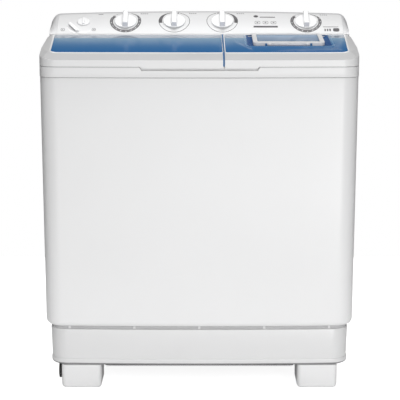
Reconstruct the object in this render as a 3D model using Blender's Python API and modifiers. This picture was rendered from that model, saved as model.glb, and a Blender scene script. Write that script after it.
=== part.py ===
# Twin tub washer: wash tub with pulsator on the left, spin basket on the right,
# two glazed lids, sloping control housing at the back, base with feet below.
# Metres, +Z up, front towards -Y, origin on the floor under the middle.
import math
import bpy
import bmesh
from mathutils import Matrix, Vector

# ---------------------------------------------------------------- dimensions
HALF_W = 0.465            # half width over the top frame and lids
DEPTH = 0.550             # overall depth
FRONT = -DEPTH / 2        # y of the front face
BOW = 0.012               # forward bow of the front face
R_FRONT = 0.055           # vertical corner radius, front
R_REAR = 0.022            # vertical corner radius, rear
GAP = 0.0003              # clearance between touching pieces
LIP_Z = 0.0735            # bottom edge of the base frame
BASE_TOP = 0.1837         # top of the base frame
CAB_TOP = 0.934           # top of the cabinet wall
DECK_TOP = 0.966          # top face of the top frame
WALL = 0.0035             # moulded wall thickness
SPLIT_X = 0.072           # line between the two lids
SPLIT_GAP = 0.0018        # half the gap between the lids
LIP_X = (-0.1700, 0.1720)          # ends of the finger lip under the lids
LIP_LOW = 0.9613          # underside of the finger lip
HINGE_D = 0.3075          # lid hinge axis, depth from the front
HINGE_Z = 1.0265          # lid hinge axis, height
LID_END = 0.3325          # rear edge of the lids, depth
FOOT_D = 0.335            # lower edge of the control face, depth
FOOT_Z = 1.0399           # lower edge of the control face, height
FACE_LEN = 0.118          # length of the control face up its slope
FACE_A0 = 46.0            # slope of the control face at its lower edge, degrees
FACE_A1 = 19.0            # slope of the control face at its upper edge, degrees
FACE_ARCH = 0.0065        # drop of the upper edge towards the sides
BEVEL_Z = 0.9855          # foot of the front bevel of the lids
BEVEL_RISE = 0.37         # rise of the front bevel per unit depth
SIDE_FRONT = (0.980, 0.272, 0.33)   # side bevel, front part: height, rise per depth, rise per width
SIDE_REAR = (1.0008, 0.107, 0.18)   # side bevel, rear part
WINDOW_RISE = 0.126       # rise of the windows per unit depth
WINDOW_D = 0.0500         # front edge of the windows, depth
WINDOW_REAR = 0.3270      # rear edge of the windows, depth
PANE = 0.0028             # thickness of the windows
DIAL_S = 0.060            # dial centres, distance up the slope
DIAL_X = (-0.230, -0.078, 0.0715, 0.3325)     # the four dials
WASH_X = -0.198           # wash tub axis
WASH_D = 0.262
SPIN_X = 0.255            # spin basket axis
SPIN_D = 0.195
MOTOR_X = -0.030          # wash motor axis
MOTOR_D = 0.300
BELT_Z = 0.335            # mid plane of the drive belt
SPIN_R = 0.168            # spin tub outer radius
BASKET_R = 0.150          # basket outer radius
BRAKE_AT = (0.180, 0.188) # brake lever pivot, x and depth
WHEEL_Z = 0.0305          # transport wheel axles
WHEEL_FRONT_D = 0.125
WHEEL_REAR_D = 0.445
DRAIN_X = 0.045           # drain spigot and valve
DRAIN_Z = 0.134
SPIN_DRAIN_X = 0.155      # spin tub drain
SPIN_DRAIN_D = 0.255
CAP_X = -0.3608           # water inlet cap on the control face
CAP_S = 0.0590
LEVER_X = -0.3795         # inlet selector lever on the control face
LEVER_S = 0.0160
POST_X = (-0.388, 0.028, 0.112, 0.428)     # hinge posts on the top frame
POCKET = (0.139, 0.400, 0.148, 0.3225)     # pocket in the spin lid: x, x, depth, depth
FLAP = (0.161, 0.375, 0.1745, 0.3195)      # flap in the pocket
FLAP_AXIS_D = 0.1655      # flap hinge axis, depth
FLAP_LUGS = (0.2103, 0.3220)       # flap hinge lugs
FLAP_POSTS = (0.1990, 0.3333)      # posts of the flap hinge
MOUNTS = ((60, "a"), (180, "b"), (300, "c"))

WHITE = (0.86, 0.87, 0.88)
PALE = (0.72, 0.73, 0.74)
BLUE = (0.10, 0.26, 0.48)
STEEL = (0.62, 0.63, 0.65)
DARK = (0.06, 0.06, 0.065)
GREY = (0.42, 0.43, 0.45)
RUBBER = (0.03, 0.03, 0.03)


def yd(depth):
    """World y of a depth measured back from the front face."""
    return FRONT + depth


def clear_scene():
    for ob in list(bpy.data.objects):
        bpy.data.objects.remove(ob, do_unlink=True)


def new_collection(name, hidden=False):
    coll = bpy.data.collections.new(name)
    bpy.context.scene.collection.children.link(coll)
    coll.hide_render = hidden
    return coll


clear_scene()
PARTS = new_collection("twin_tub_washer")
CUTS = new_collection("cutters", hidden=True)


def finish_of(name, colour, rough, metal):
    mat = bpy.data.materials.new(name)
    mat.use_nodes = True
    shader = mat.node_tree.nodes["Principled BSDF"]
    shader.inputs["Base Color"].default_value = (*colour, 1.0)
    shader.inputs["Roughness"].default_value = rough
    shader.inputs["Metallic"].default_value = metal
    return mat


def to_object(name, bm, coll, smooth=False):
    mesh = bpy.data.meshes.new(name)
    bmesh.ops.recalc_face_normals(bm, faces=bm.faces)
    bm.to_mesh(mesh)
    bm.free()
    for poly in mesh.polygons:
        poly.use_smooth = smooth
    ob = bpy.data.objects.new(name, mesh)
    coll.objects.link(ob)
    return ob


def place(ob, at=(0, 0, 0), tilt=0.0):
    ob.location = at
    ob.rotation_euler = (tilt, 0, 0)
    return ob


def node(name, bm, colour, rough=0.35, metal=0.0, at=(0, 0, 0), tilt=0.0, smooth=False):
    ob = to_object(name, bm, PARTS, smooth)
    ob.data.materials.append(finish_of(name, colour, rough, metal))
    return place(ob, at, tilt)


def tool(name, bm, at=(0, 0, 0), tilt=0.0):
    ob = to_object(name, bm, CUTS)
    ob.hide_render = True
    ob.display_type = "WIRE"
    return place(ob, at, tilt)


def boolean(ob, other, kind):
    mod = ob.modifiers.new(kind.lower(), "BOOLEAN")
    mod.operation = kind
    mod.solver = "EXACT"
    mod.object = other


def cut(ob, other):
    boolean(ob, other, "DIFFERENCE")


def fuse(ob, other):
    boolean(ob, other, "UNION")


# ---------------------------------------------------------------- shape makers
def block(x0, x1, y0, y1, z0, z1):
    bm = bmesh.new()
    bmesh.ops.create_cube(bm, size=1.0)
    bmesh.ops.scale(bm, vec=(x1 - x0, y1 - y0, z1 - z0), verts=bm.verts)
    mid = Vector(((x0 + x1) / 2, (y0 + y1) / 2, (z0 + z1) / 2))
    bmesh.ops.translate(bm, vec=mid, verts=bm.verts)
    return bm


def rod(radius, length, axis="Z", seg=16, mid=(0, 0, 0)):
    bm = bmesh.new()
    bmesh.ops.create_cone(bm, cap_ends=True, segments=seg, radius1=radius, radius2=radius, depth=length)
    if axis == "X":
        bmesh.ops.rotate(bm, matrix=Matrix.Rotation(math.pi / 2, 3, "Y"), verts=bm.verts)
    if axis == "Y":
        bmesh.ops.rotate(bm, matrix=Matrix.Rotation(math.pi / 2, 3, "X"), verts=bm.verts)
    bmesh.ops.translate(bm, vec=Vector(mid), verts=bm.verts)
    return bm


def loft(rings, loop=False):
    """Skin a list of equal rings; the ends are capped unless the skin loops round."""
    bm = bmesh.new()
    rows = [[bm.verts.new(p) for p in ring] for ring in rings]
    pairs = list(zip(rows[:-1], rows[1:]))
    if loop:
        pairs.append((rows[-1], rows[0]))
    for low, high in pairs:
        for i in range(len(low)):
            j = (i + 1) % len(low)
            bm.faces.new((low[i], low[j], high[j], high[i]))
    if not loop:
        bm.faces.new(rows[0])
        bm.faces.new(rows[-1])
    return bm


def turned(name, profile, seg, colour, rough=0.35, metal=0.0, at=(0, 0, 0), loop=False, cutter=False):
    """Turned solid about its own z axis; profile points are (radius, height)."""
    bm = bmesh.new()
    verts = [bm.verts.new((r, 0, z)) for r, z in profile]
    for a, b in zip(verts[:-1], verts[1:]):
        bm.edges.new((a, b))
    if loop:
        bm.edges.new((verts[-1], verts[0]))
    mesh = bpy.data.meshes.new(name)
    bm.to_mesh(mesh)
    bm.free()
    ob = bpy.data.objects.new(name, mesh)
    if cutter:
        CUTS.objects.link(ob)
        ob.hide_render = True
        ob.display_type = "WIRE"
    else:
        PARTS.objects.link(ob)
        ob.data.materials.append(finish_of(name, colour, rough, metal))
    ob.location = at
    mod = ob.modifiers.new("turn", "SCREW")
    mod.axis = "Z"
    mod.angle = math.tau
    mod.steps = seg
    mod.render_steps = seg
    mod.use_merge_vertices = True
    mod.merge_threshold = 0.00001
    mod.use_smooth_shade = True
    return ob


def outline(half_w, d0, d1, z, rf, rr, bow=0.0, mid_x=0.0, seg=4):
    """Rounded rectangle ring at height z with an optional bowed front edge."""
    pts = []
    flat = half_w - rf
    for i in range(7):
        x = -flat + 2 * flat * i / 6
        pts.append((x, yd(d0) + bow * (x / half_w) ** 2))
    y_edge = yd(d0) + bow * (flat / half_w) ** 2 + rf

    def arc(cx, cy, r, a0):
        for i in range(1, seg + 1):
            a = math.radians(a0 + 90 * i / seg)
            pts.append((cx + r * math.cos(a), cy + r * math.sin(a)))

    arc(flat, y_edge, rf, -90)
    pts.append((half_w, yd(d1) - rr))
    arc(half_w - rr, yd(d1) - rr, rr, 0)
    pts.append((-(half_w - rr), yd(d1)))
    arc(-(half_w - rr), yd(d1) - rr, rr, 90)
    pts.append((-half_w, y_edge))
    arc(-flat, y_edge, rf, 180)
    pts.pop()
    return [(x + mid_x, y, z) for x, y in pts]


def wall_ring(half_w, front_d, rear_d, z, inset=0.0, rf=R_FRONT, rr=R_REAR):
    return outline(half_w - inset, front_d + inset, rear_d - inset, z,
                   max(rf - inset, 0.004), max(rr - inset, 0.004), BOW)


def face_point(s):
    """Depth, height and slope at a distance s up the control face, an arc of even curvature."""
    a0 = math.radians(FACE_A0)
    radius = FACE_LEN / (a0 - math.radians(FACE_A1))
    a = a0 - s / radius
    return FOOT_D + radius * (math.sin(a0) - math.sin(a)), FOOT_Z + radius * (math.cos(a) - math.cos(a0)), a


def arch(x):
    return FACE_ARCH * (x / 0.42) ** 2


def face_z(x, s):
    """Height of the control face with the arched upper edge taken in."""
    return face_point(s)[1] - arch(x) * (s / FACE_LEN) ** 1.5


def on_face(x, s, lift=0.0):
    """Point on the control face (lifted along its normal) and its tilt."""
    d, z, a = face_point(s)
    z = face_z(x, s)
    return (x, yd(d) - math.sin(a) * lift, z + math.cos(a) * lift), a


# ---------------------------------------------------------------- base
def base_frame():
    top_hw = 0.4463
    low_hw = 0.4438
    d_top = 0.0185
    d_low = 0.0215

    def hole(z):
        return outline(0.2175, 0.070, 0.485, z, 0.012, 0.012, 0, -0.0525)

    rings = [
        wall_ring(low_hw - 0.0022, d_low + 0.0022, 0.5370, LIP_Z),
        wall_ring(low_hw + 0.0018, d_low - 0.0018, 0.5405, LIP_Z + 0.006),
        wall_ring(low_hw + 0.0018, d_low - 0.0018, 0.5405, LIP_Z + 0.0165),
        wall_ring(low_hw, d_low, 0.539, LIP_Z + 0.0195),
        wall_ring(top_hw, d_top, 0.541, BASE_TOP),
        wall_ring(top_hw, d_top, 0.541, BASE_TOP, 0.026),
        wall_ring(top_hw, d_top, 0.541, BASE_TOP - 0.003, 0.026),
        wall_ring(top_hw, d_top, 0.541, BASE_TOP - 0.003, 0.004),
        wall_ring(low_hw, d_low, 0.539, 0.109, 0.004),
        hole(0.109),
        hole(0.105),
        wall_ring(low_hw, d_low, 0.539, 0.105, 0.004),
        wall_ring(low_hw, d_low, 0.539, LIP_Z, 0.004),
    ]
    ob = node("base_frame", loft(rings, loop=True), WHITE, 0.35)
    cut(ob, tool("spigot_way", rod(0.0168, 0.03, "Y", 16, (DRAIN_X, yd(0.54), DRAIN_Z))))


def base_tray():
    """Shallow pan closing the underside of the motor bay between the feet."""
    def ring(z, inset):
        return outline(0.2860 - inset, 0.0560 + inset, 0.5050 - inset, z, 0.012, 0.012)

    rings = [ring(0.0620, 0.0), ring(0.1047, 0.0), ring(0.1047, 0.003), ring(0.0650, 0.003)]
    node("base_tray", loft(rings), DARK, 0.6)


def foot(name, side, toe, d0, d1, axle):
    """Block foot; its toe comes forward below the base lip."""
    mid_x = side * 0.353

    def ring(z, inset, front):
        r = 0.014 - inset
        return outline(0.060 - inset, front + inset, d1 - inset, z, r, r, 0, mid_x, 2)

    rings = [ring(0.0, 0.009, toe), ring(0.004, 0.003, toe), ring(0.012, 0.0, toe)]
    rings += [ring(LIP_Z - 0.001, 0.0, toe), ring(LIP_Z - 0.0005, 0.0, d0), ring(0.1047, 0.0, d0)]
    ob = node(name, loft(rings), WHITE, 0.4)
    if axle:
        cut(ob, tool(name + "_bore", rod(0.0045, 0.036, "X", 12, (-0.413, yd(axle), WHEEL_Z))))


def wheel(name, depth):
    profile = [
        (0, 0.0), (0.0085, 0.0), (0.0085, -0.0005), (0.019, -0.0005), (0.019, 0.0),
        (0.0228, 0.0), (0.0245, -0.002), (0.0245, -0.0115), (0.0228, -0.0135), (0.0042, -0.0135),
        (0.0042, -0.0300), (0, -0.0300),
    ]
    ob = turned(name, profile, 16, RUBBER, 0.6)
    ob.location = (-0.4280, yd(depth), WHEEL_Z)
    ob.rotation_euler = (0, -math.pi / 2, 0)


# ---------------------------------------------------------------- cabinet
def cabinet():
    rings = [
        wall_ring(0.4590, 0.006, 0.5445, BASE_TOP + GAP, 0.020),
        wall_ring(0.4590, 0.006, 0.5445, 0.1925, 0.020),
        wall_ring(0.4590, 0.006, 0.5445, 0.1938, 0.0140),
        wall_ring(0.4590, 0.006, 0.5445, 0.1975, 0.0060),
        wall_ring(0.4590, 0.006, 0.5445, 0.2040, 0.0014),
        wall_ring(0.4590, 0.006, 0.5445, 0.2115, 0.0),
        wall_ring(0.4640, 0.001, 0.5450, CAB_TOP, 0.0),
        wall_ring(0.4640, 0.001, 0.5450, CAB_TOP, WALL),
        wall_ring(0.4590, 0.006, 0.5445, 0.2125, WALL),
        wall_ring(0.4590, 0.006, 0.5445, 0.2040, WALL + 0.0035),
        wall_ring(0.4590, 0.006, 0.5445, 0.1990, WALL + 0.0080),
        wall_ring(0.4590, 0.006, 0.5445, 0.1962, 0.0235),
        wall_ring(0.4590, 0.006, 0.5445, BASE_TOP + GAP, 0.0235),
    ]
    ob = node("cabinet", loft(rings, loop=True), WHITE, 0.22)
    cut(ob, tool("service_hole", block(-0.33, 0.33, yd(0.53), yd(0.56), 0.25, 0.72)))


def rear_panel():
    ob = node("rear_panel", block(-0.35, 0.35, yd(0.5455), yd(0.5485), 0.23, 0.74), PALE, 0.45)
    for i in range(5):
        x = -0.20 + 0.10 * i
        cut(ob, tool("vent_%d" % i, block(x - 0.030, x + 0.030, yd(0.54), yd(0.555), 0.300, 0.308)))


# ---------------------------------------------------------------- top frame
def top_frame():
    rings = [
        wall_ring(HALF_W, 0.0, 0.549, 0.962, WALL),
        wall_ring(HALF_W, 0.0, 0.549, CAB_TOP + GAP, WALL),
        wall_ring(HALF_W, 0.0, 0.549, CAB_TOP + GAP, 0.0),
        wall_ring(HALF_W, 0.0, 0.549, DECK_TOP, 0.0),
    ]
    ob = node("top_frame", loft(rings), WHITE, 0.22)
    fuse(ob, tool("recess_body", block(-0.182, 0.184, yd(0.0022), yd(0.0172), 0.945, 0.9645)))
    for i, x in enumerate(POST_X):
        fuse(ob, tool("post_%d" % i, hinge_post(x)))
    mouth = [(-0.1725, DECK_TOP + 0.01), (-0.1725, 0.9652), (-0.1660, 0.9548),
             (0.1680, 0.9548), (0.1745, 0.9652), (0.1745, DECK_TOP + 0.01)]
    front = [(x, yd(-0.002), z) for x, z in mouth]
    back = [(x, yd(0.0135), max(z, 0.9552)) for x, z in mouth]
    cut(ob, tool("recess_cut", loft([front, back])))
    way = loft([outline(0.222, 0.045, 0.294, z, 0.03, 0.03, 0, WASH_X, 3) for z in (0.95, 0.98)])
    cut(ob, tool("wash_way", way))
    cut(ob, tool("spin_way", rod(0.130, 0.04, "Z", 28, (SPIN_X, yd(SPIN_D), 0.965))))
    for i, x in enumerate(POST_X):
        cut(ob, tool("post_bore_%d" % i, rod(0.0028, 0.03, "X", 10, (x, yd(HINGE_D), HINGE_Z))))


def hinge_post(x):
    """Post that leans forward under the hinge knuckle, clear of the tail of an open lid."""
    y = yd(HINGE_D)
    low = DECK_TOP - 0.002
    shape = [(-0.0100, low), (-0.0045, low), (-0.0042, HINGE_Z - 0.020), (0.0041, HINGE_Z - 0.0032),
             (0.0044, HINGE_Z + 0.0008), (0.0022, HINGE_Z + 0.0042), (-0.0022, HINGE_Z + 0.0042),
             (-0.0046, HINGE_Z + 0.0008), (-0.0095, HINGE_Z - 0.018)]
    left = [(x - 0.004, y + a, b) for a, b in shape]
    right = [(x + 0.004, y + a, b) for a, b in shape]
    return loft([left, right])


# ---------------------------------------------------------------- control housing
def side_profile(x, inset=0.0):
    """Closed side view ring of the housing at station x."""
    pts = [
        (0.345 + inset, DECK_TOP + GAP),
        (0.345 + inset, FOOT_Z - 0.0144),
        (FOOT_D + 0.0012 + inset, FOOT_Z - 0.0049),
    ]
    n = 7
    for i in range(n + 1):
        s = FACE_LEN * i / n
        d, z, a = face_point(s)
        pts.append((d + math.sin(a) * inset, face_z(x, s) - math.cos(a) * inset))
    top = face_z(x, FACE_LEN) - inset
    pts.append((0.4480, top + 0.0022))
    pts.append((0.4750, top + 0.0010))
    pts.append((0.5200, top - 0.0120))
    pts.append((0.5400 - inset, top - 0.0240))
    pts.append((0.5490 - inset, top - 0.0420))
    pts.append((0.5490 - inset, DECK_TOP + GAP))
    return [(x, yd(d), z) for d, z in pts]


def housing_shape(inset):
    """Lofted housing; the shoulders round down over the outer 25 mm."""
    rings = []
    edge = HALF_W - 0.0015 - inset
    stations = [-edge, -edge + 0.002, -edge + 0.008, -edge + 0.030, -0.30, -0.15, 0.0]
    drops = [0.020, 0.011, 0.0042, 0.0, 0.0, 0.0, 0.0]
    full = list(zip(stations, drops)) + [(-x, q) for x, q in reversed(list(zip(stations, drops))[:-1])]
    for x, q in full:
        ring = side_profile(x, inset)
        rings.append([(a, b, c - q * blend(c)) for a, b, c in ring])
    bm = loft(rings)
    bmesh.ops.triangulate(bm, faces=[f for f in bm.faces if len(f.verts) == 4])
    return bm


def blend(z):
    """0 at the lower edge of the control face, 1 at the crown."""
    t = (z - FOOT_Z - 0.0016) / 0.050
    return max(0.0, min(1.0, t))


def face_band(x0, x1, outer, inner, s0, s1):
    """Slab following the control face between two offsets along its normal."""
    rings = []
    n = 7
    xs = [x0, -0.30, -0.15, 0.0, 0.15, 0.30, x1]
    for x in xs:
        top = []
        low = []
        for i in range(n + 1):
            s = s0 + (s1 - s0) * i / n
            d, z, a = face_point(s)
            zz = face_z(x, s)
            top.append((x, yd(d) - math.sin(a) * outer, zz + math.cos(a) * outer))
            low.append((x, yd(d) - math.sin(a) * inner, zz + math.cos(a) * inner))
        rings.append(top + low[::-1])
    bm = loft(rings)
    bmesh.ops.triangulate(bm, faces=[f for f in bm.faces if len(f.verts) == 4])
    return bm


def control_housing():
    ob = node("control_housing", housing_shape(0.0), PALE, 0.3)
    hollow = housing_shape(0.0035)
    for v in hollow.verts:
        if v.co.z < DECK_TOP + 0.001:
            v.co.z = DECK_TOP - 0.01
    cut(ob, tool("housing_hollow", hollow))
    cut(ob, tool("face_way", face_band(-0.4403, 0.4453, 0.02, -0.012, 0.0035, FACE_LEN - 0.0015)))
    for side in (-1, 1):
        fuse(ob, tool("ear_%d" % side, ear(side)))
    fuse(ob, tool("gland_boss", rod(0.0130, 0.0040, "Y", 20, (0.36, yd(0.5479), 0.995))))
    cut(ob, tool("gland_way", rod(0.0060, 0.03, "Y", 14, (0.36, yd(0.545), 0.995))))


def lid_side_z(x, depth):
    """Height of the side bevel of the lids near their rear end."""
    z, rise, lean = SIDE_REAR
    return z + rise * depth + lean * (HALF_W - abs(x))


def ear(side):
    """Cheek that closes the side between lid and housing."""
    inner = side * 0.4598
    outer = side * (HALF_W - 0.0021)
    d0 = HINGE_D + 0.0090
    d1 = 0.3475
    low = [(inner, yd(d0)), (outer, yd(d0)), (outer, yd(d1)), (inner, yd(d1))]
    bottom = [(x, y, DECK_TOP + 0.0007) for x, y in low]
    upper = [(x, y, lid_side_z(x, y - FRONT)) for x, y in low]
    return loft([bottom, upper])


def control_fascia():
    ob = node("control_fascia", face_band(-0.440, 0.445, 0.0, -0.003, 0.0038, FACE_LEN - 0.0018), WHITE, 0.3)
    for i, x in enumerate(DIAL_X):
        at, a = on_face(x, DIAL_S)
        cut(ob, tool("dial_bore_%d" % i, rod(0.0042, 0.03, "Z", 12), at, a))
    at, a = on_face(CAP_X, CAP_S)
    cut(ob, tool("cap_bore", rod(0.0112, 0.03, "Z", 16), at, a))
    at, a = on_face(LEVER_X, LEVER_S)
    cut(ob, tool("lever_bore", rod(0.0037, 0.03, "Z", 12), at, a))


def knob(name, index):
    """Flanged knob with a raised bar grip and a shaft into the control below."""
    at, a = on_face(DIAL_X[index], DIAL_S, 0.0006)
    profile = [(0, 0.005), (0.0335, 0.005), (0.035, 0.0035), (0.035, 0.0), (0.0036, 0.0),
               (0.0036, -0.014), (0, -0.014)]
    ob = turned(name, profile, 24, WHITE, 0.25, at=at)
    ob.rotation_euler = (a, 0, 0)
    low = [(-0.0088, -0.0325), (0.0088, -0.0325), (0.0088, 0.0325), (-0.0088, 0.0325)]
    grip = loft([
        [(x, y, 0.003) for x, y in low],
        [(x, y, 0.016) for x, y in low],
        [(x * 0.86, y * 0.97, 0.0195) for x, y in low],
    ])
    fuse(ob, tool(name + "_grip", grip, at, a))


def inlet_cap():
    at, a = on_face(CAP_X, CAP_S, 0.0006)
    profile = [(0, 0.003), (0.0185, 0.003), (0.020, 0.0018), (0.020, 0.0), (0.0108, 0.0),
               (0.0108, -0.014), (0.0088, -0.014), (0.0088, 0.0015), (0, 0.0015)]
    ob = turned("water_inlet_cap", profile, 16, WHITE, 0.3, at=at)
    ob.rotation_euler = (a, 0, 0)
    bar = block(-0.0045, 0.0045, -0.0165, 0.0165, 0.0022, 0.0065)
    fuse(ob, tool("cap_bar", bar, at, a))


def inlet_lever():
    """Selector lever that turns about its lower end; it rests leaning left."""
    at, a = on_face(LEVER_X, LEVER_S, 0.0008)
    profile = [(0, 0.004), (0.0064, 0.004), (0.0064, 0.0), (0.0032, 0.0), (0.0032, -0.012), (0, -0.012)]
    ob = turned("inlet_lever", profile, 12, WHITE, 0.3, at=at)
    ob.rotation_euler = (a, 0, 0)
    lean = math.radians(40)
    pts = []
    for k in range(9):
        t = math.pi * k / 8
        pts.append((0.005 * math.cos(t), 0.034 + 0.005 * math.sin(t)))
    pts += [(-0.005, 0.0), (0.005, 0.0)]
    turn = [(x * math.cos(lean) - y * math.sin(lean),
        x * math.sin(lean) + y * math.cos(lean)) for x, y in pts]
    arm = loft([[(x, y, 0.0014) for x, y in turn], [(x, y, 0.0058) for x, y in turn]])
    fuse(ob, tool("lever_arm", arm, at, a))


def control_box(name, index, half_w, half_l, deep):
    """Timer or switch body fixed under the control face, with a bore for the knob shaft."""
    at, a = on_face(DIAL_X[index], DIAL_S, -0.0062)
    ob = node(name, block(-half_w, half_w, -half_l, half_l, -deep, 0.0), PALE, 0.5, 0, at, a)
    cut(ob, tool(name + "_bore", rod(0.0040, 0.028, "Z", 12), at, a))


# ---------------------------------------------------------------- lids
def bevel_planes(inset):
    """Planes bounding the lid crown: point, outward normal."""
    planes = []
    for x in (-0.372, -0.186, 0.0, 0.186, 0.372):
        tangent = 2 * BOW * x / HALF_W ** 2
        y = FRONT + BOW * (x / HALF_W) ** 2
        normal = Vector((BEVEL_RISE * tangent, -BEVEL_RISE, 1.0)).normalized()
        planes.append((Vector((x, y, BEVEL_Z)), normal))
    for side in (-1, 1):
        for z, rise, lean in (SIDE_FRONT, SIDE_REAR):
            normal = Vector((lean * side, -rise, 1.0)).normalized()
            planes.append((Vector((side * HALF_W, FRONT, z)), normal))
    planes.append((Vector((0, yd(FOOT_D), FOOT_Z)), Vector((0, -WINDOW_RISE, 1.0)).normalized()))
    return [(p - n * inset, n) for p, n in planes]


def window_z(depth):
    return FOOT_Z - WINDOW_RISE * (FOOT_D - depth)


def crown(x0, x1, d1, inset, low, skin=0.0):
    """Convex lid solid: the plan outline cut down by the crown planes."""
    ring = wall_ring(HALF_W, 0.0, 0.549, low, inset)
    bm = loft([ring, [(x, y, 1.10) for x, y, z in ring]])
    sides = [
        (Vector((x0, 0, 0)), Vector((-1, 0, 0))),
        (Vector((x1, 0, 0)), Vector((1, 0, 0))),
        (Vector((0, yd(d1), 0)), Vector((0, 1, 0))),
    ]
    for point, normal in sides + bevel_planes(inset + skin):
        geom = list(bm.verts) + list(bm.edges) + list(bm.faces)
        bmesh.ops.bisect_plane(bm, geom=geom, plane_co=point, plane_no=normal, clear_outer=True)
        rim = [e for e in bm.edges if e.is_boundary]
        if rim:
            bmesh.ops.edgeloop_fill(bm, edges=rim)
    bmesh.ops.dissolve_limit(bm, angle_limit=0.0005, verts=bm.verts, edges=bm.edges)
    return bm


def window_plan(x0, x1, shrink):
    """Plan outline of a lid window; side -1 keeps a left bevel, side 1 a right bevel."""
    d_front = WINDOW_D + shrink
    d_rear = WINDOW_REAR - shrink

    def side_x(depth):
        return 0.4302 + 0.0475 * depth - shrink

    def front(x):
        return d_front + BOW * (x / HALF_W) ** 2

    pts = []
    if x0 < -0.3:
        xa = x1 - shrink
        pts = [(xa, front(xa)), (xa, d_rear)]
        pts.append((-(side_x(d_rear) - 0.004), d_rear))
        pts.append((-side_x(d_rear - 0.006), d_rear - 0.006))
        pts.append((-side_x(0.075), 0.075))
        pts.append((-(side_x(0.066) - 0.003), 0.066 + shrink * 0.6))
        pts.append((-(side_x(0.060) - 0.014), front(0.40) + 0.0012))
        for x in (-0.30, -0.18, -0.06):
            pts.append((x, front(x)))
    else:
        xa = x0 + shrink
        pts = [(xa, front(xa)), (0.18, front(0.18)), (0.30, front(0.30))]
        pts.append((side_x(0.060) - 0.014, front(0.40) + 0.0012))
        pts.append((side_x(0.066) - 0.003, 0.066 + shrink * 0.6))
        pts.append((side_x(0.075), 0.075))
        pts.append((side_x(d_rear - 0.006), d_rear - 0.006))
        pts.append((side_x(d_rear) - 0.004, d_rear))
        pts.append((xa, d_rear))
    return pts


def slab(plan, up, down):
    """Prism of a plan outline following the window slope."""
    low = [(x, yd(d), window_z(d) + down) for x, d in plan]
    high = [(x, yd(d), window_z(d) + up) for x, d in plan]
    return loft([low, high])


def lid_lug(x):
    """Knuckle on the hinge rod with an arm back to the rear rail of the lid."""
    y = yd(HINGE_D)
    shape = [(-0.0048, -0.0020), (-0.0020, -0.0048), (0.0020, -0.0048), (0.0048, -0.0020), (0.0210, 0.0060),
             (0.0215, 0.0086), (0.0145, 0.0078), (-0.0030, 0.0050), (-0.0048, 0.0030)]
    left = [(x - 0.004, y + a, HINGE_Z + b) for a, b in shape]
    right = [(x + 0.004, y + a, HINGE_Z + b) for a, b in shape]
    return loft([left, right])


def on_hinge(ob, depth, z):
    """Move the origin of a piece to a joint axis without moving the piece."""
    axis = Vector((0, yd(depth), z))
    for v in ob.data.vertices:
        v.co -= axis
    ob.location = axis
    return ob


def finger_lip(x0, x1, clip0, clip1):
    """Lip under the front skirt of a lid, its outer ends cut at 45 degrees."""
    stations = [(x0, DECK_TOP if clip0 else LIP_LOW), (x0 + 0.0047, LIP_LOW)]
    stations += [((x0 + x1) / 2, LIP_LOW), (x1 - 0.0047, LIP_LOW), (x1, DECK_TOP if clip1 else LIP_LOW)]
    rings = []
    for x, low in stations:
        y = FRONT + BOW * (x / HALF_W) ** 2 + 0.00005
        high = DECK_TOP + 0.0025
        rings.append([(x, y, low), (x, y + 0.0024, low), (x, y + 0.0024, high), (x, y, high)])
    return loft(rings)


def lid_frame(name, x0, x1, lugs):
    left = x0 < -0.3
    ob = node(name, crown(x0, x1, LID_END, 0.0, DECK_TOP + GAP), PALE, 0.3)
    inner0 = x0 - 1.0 if left else x0 + 0.002
    inner1 = x1 - 0.002 if left else x1 + 1.0
    hollow = crown(inner0, inner1, LID_END - 0.0025, 0.0025, DECK_TOP - 0.01, 0.0035)
    cut(ob, tool(name + "_hollow", hollow))
    wx0 = x0 if left else x0 + 0.002
    wx1 = x1 - 0.002 if left else x1
    cut(ob, tool(name + "_rebate", slab(window_plan(wx0, wx1, 0.0), 0.02, -0.0033)))
    cut(ob, tool(name + "_light", slab(window_plan(wx0, wx1, 0.0062), 0.02, -0.02)))
    tail = block(x0 - 0.01, x1 + 0.01, yd(HINGE_D), yd(0.36), 0.90, HINGE_Z + 0.0062)
    cut(ob, tool(name + "_tail", tail))
    outer = -HALF_W if left else HALF_W
    inner = outer * 0.9873
    box = block(min(outer, inner) - 0.001, max(outer, inner) + 0.001, yd(HINGE_D), yd(0.36), 0.90, 1.10)
    cut(ob, tool(name + "_heel", box))
    for i, x in enumerate(lugs):
        fuse(ob, tool("%s_lug_%d" % (name, i), lid_lug(x)))
    for i, x in enumerate(lugs):
        bore = rod(0.0029, 0.03, "X", 10, (x, yd(HINGE_D), HINGE_Z))
        cut(ob, tool("%s_bore_%d" % (name, i), bore))
    if left:
        fuse(ob, tool(name + "_lip", finger_lip(LIP_X[0], x1, True, False)))
    else:
        fuse(ob, tool(name + "_lip", finger_lip(x0, LIP_X[1], False, True)))
    on_hinge(ob, HINGE_D, HINGE_Z)


def hinge_rod(name, x0, x1, depth, z, radius):
    at = ((x0 + x1) / 2, yd(depth), z)
    node(name, rod(radius, x1 - x0, "X", 10), STEEL, 0.3, 1.0, at, smooth=True)


def grown(x0, x1, d0, d1, r=0.0):
    """Counter-clockwise plan rectangle with clipped front corners."""
    if r == 0:
        return [(x0, d0), (x1, d0), (x1, d1), (x0, d1)]
    return [(x0 + r, d0), (x1 - r, d0), (x1 - r * 0.3, d0 + r * 0.3), (x1, d0 + r), (x1, d1), (x0, d1),
            (x0, d0 + r), (x0 + r * 0.3, d0 + r * 0.3)]


def wash_window():
    plan = window_plan(-HALF_W, SPLIT_X - 0.004, 0.0004)
    ob = node("wash_lid_window", slab(plan, -0.0002, -0.0002 - PANE), BLUE, 0.08)
    on_hinge(ob, HINGE_D, HINGE_Z)


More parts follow.
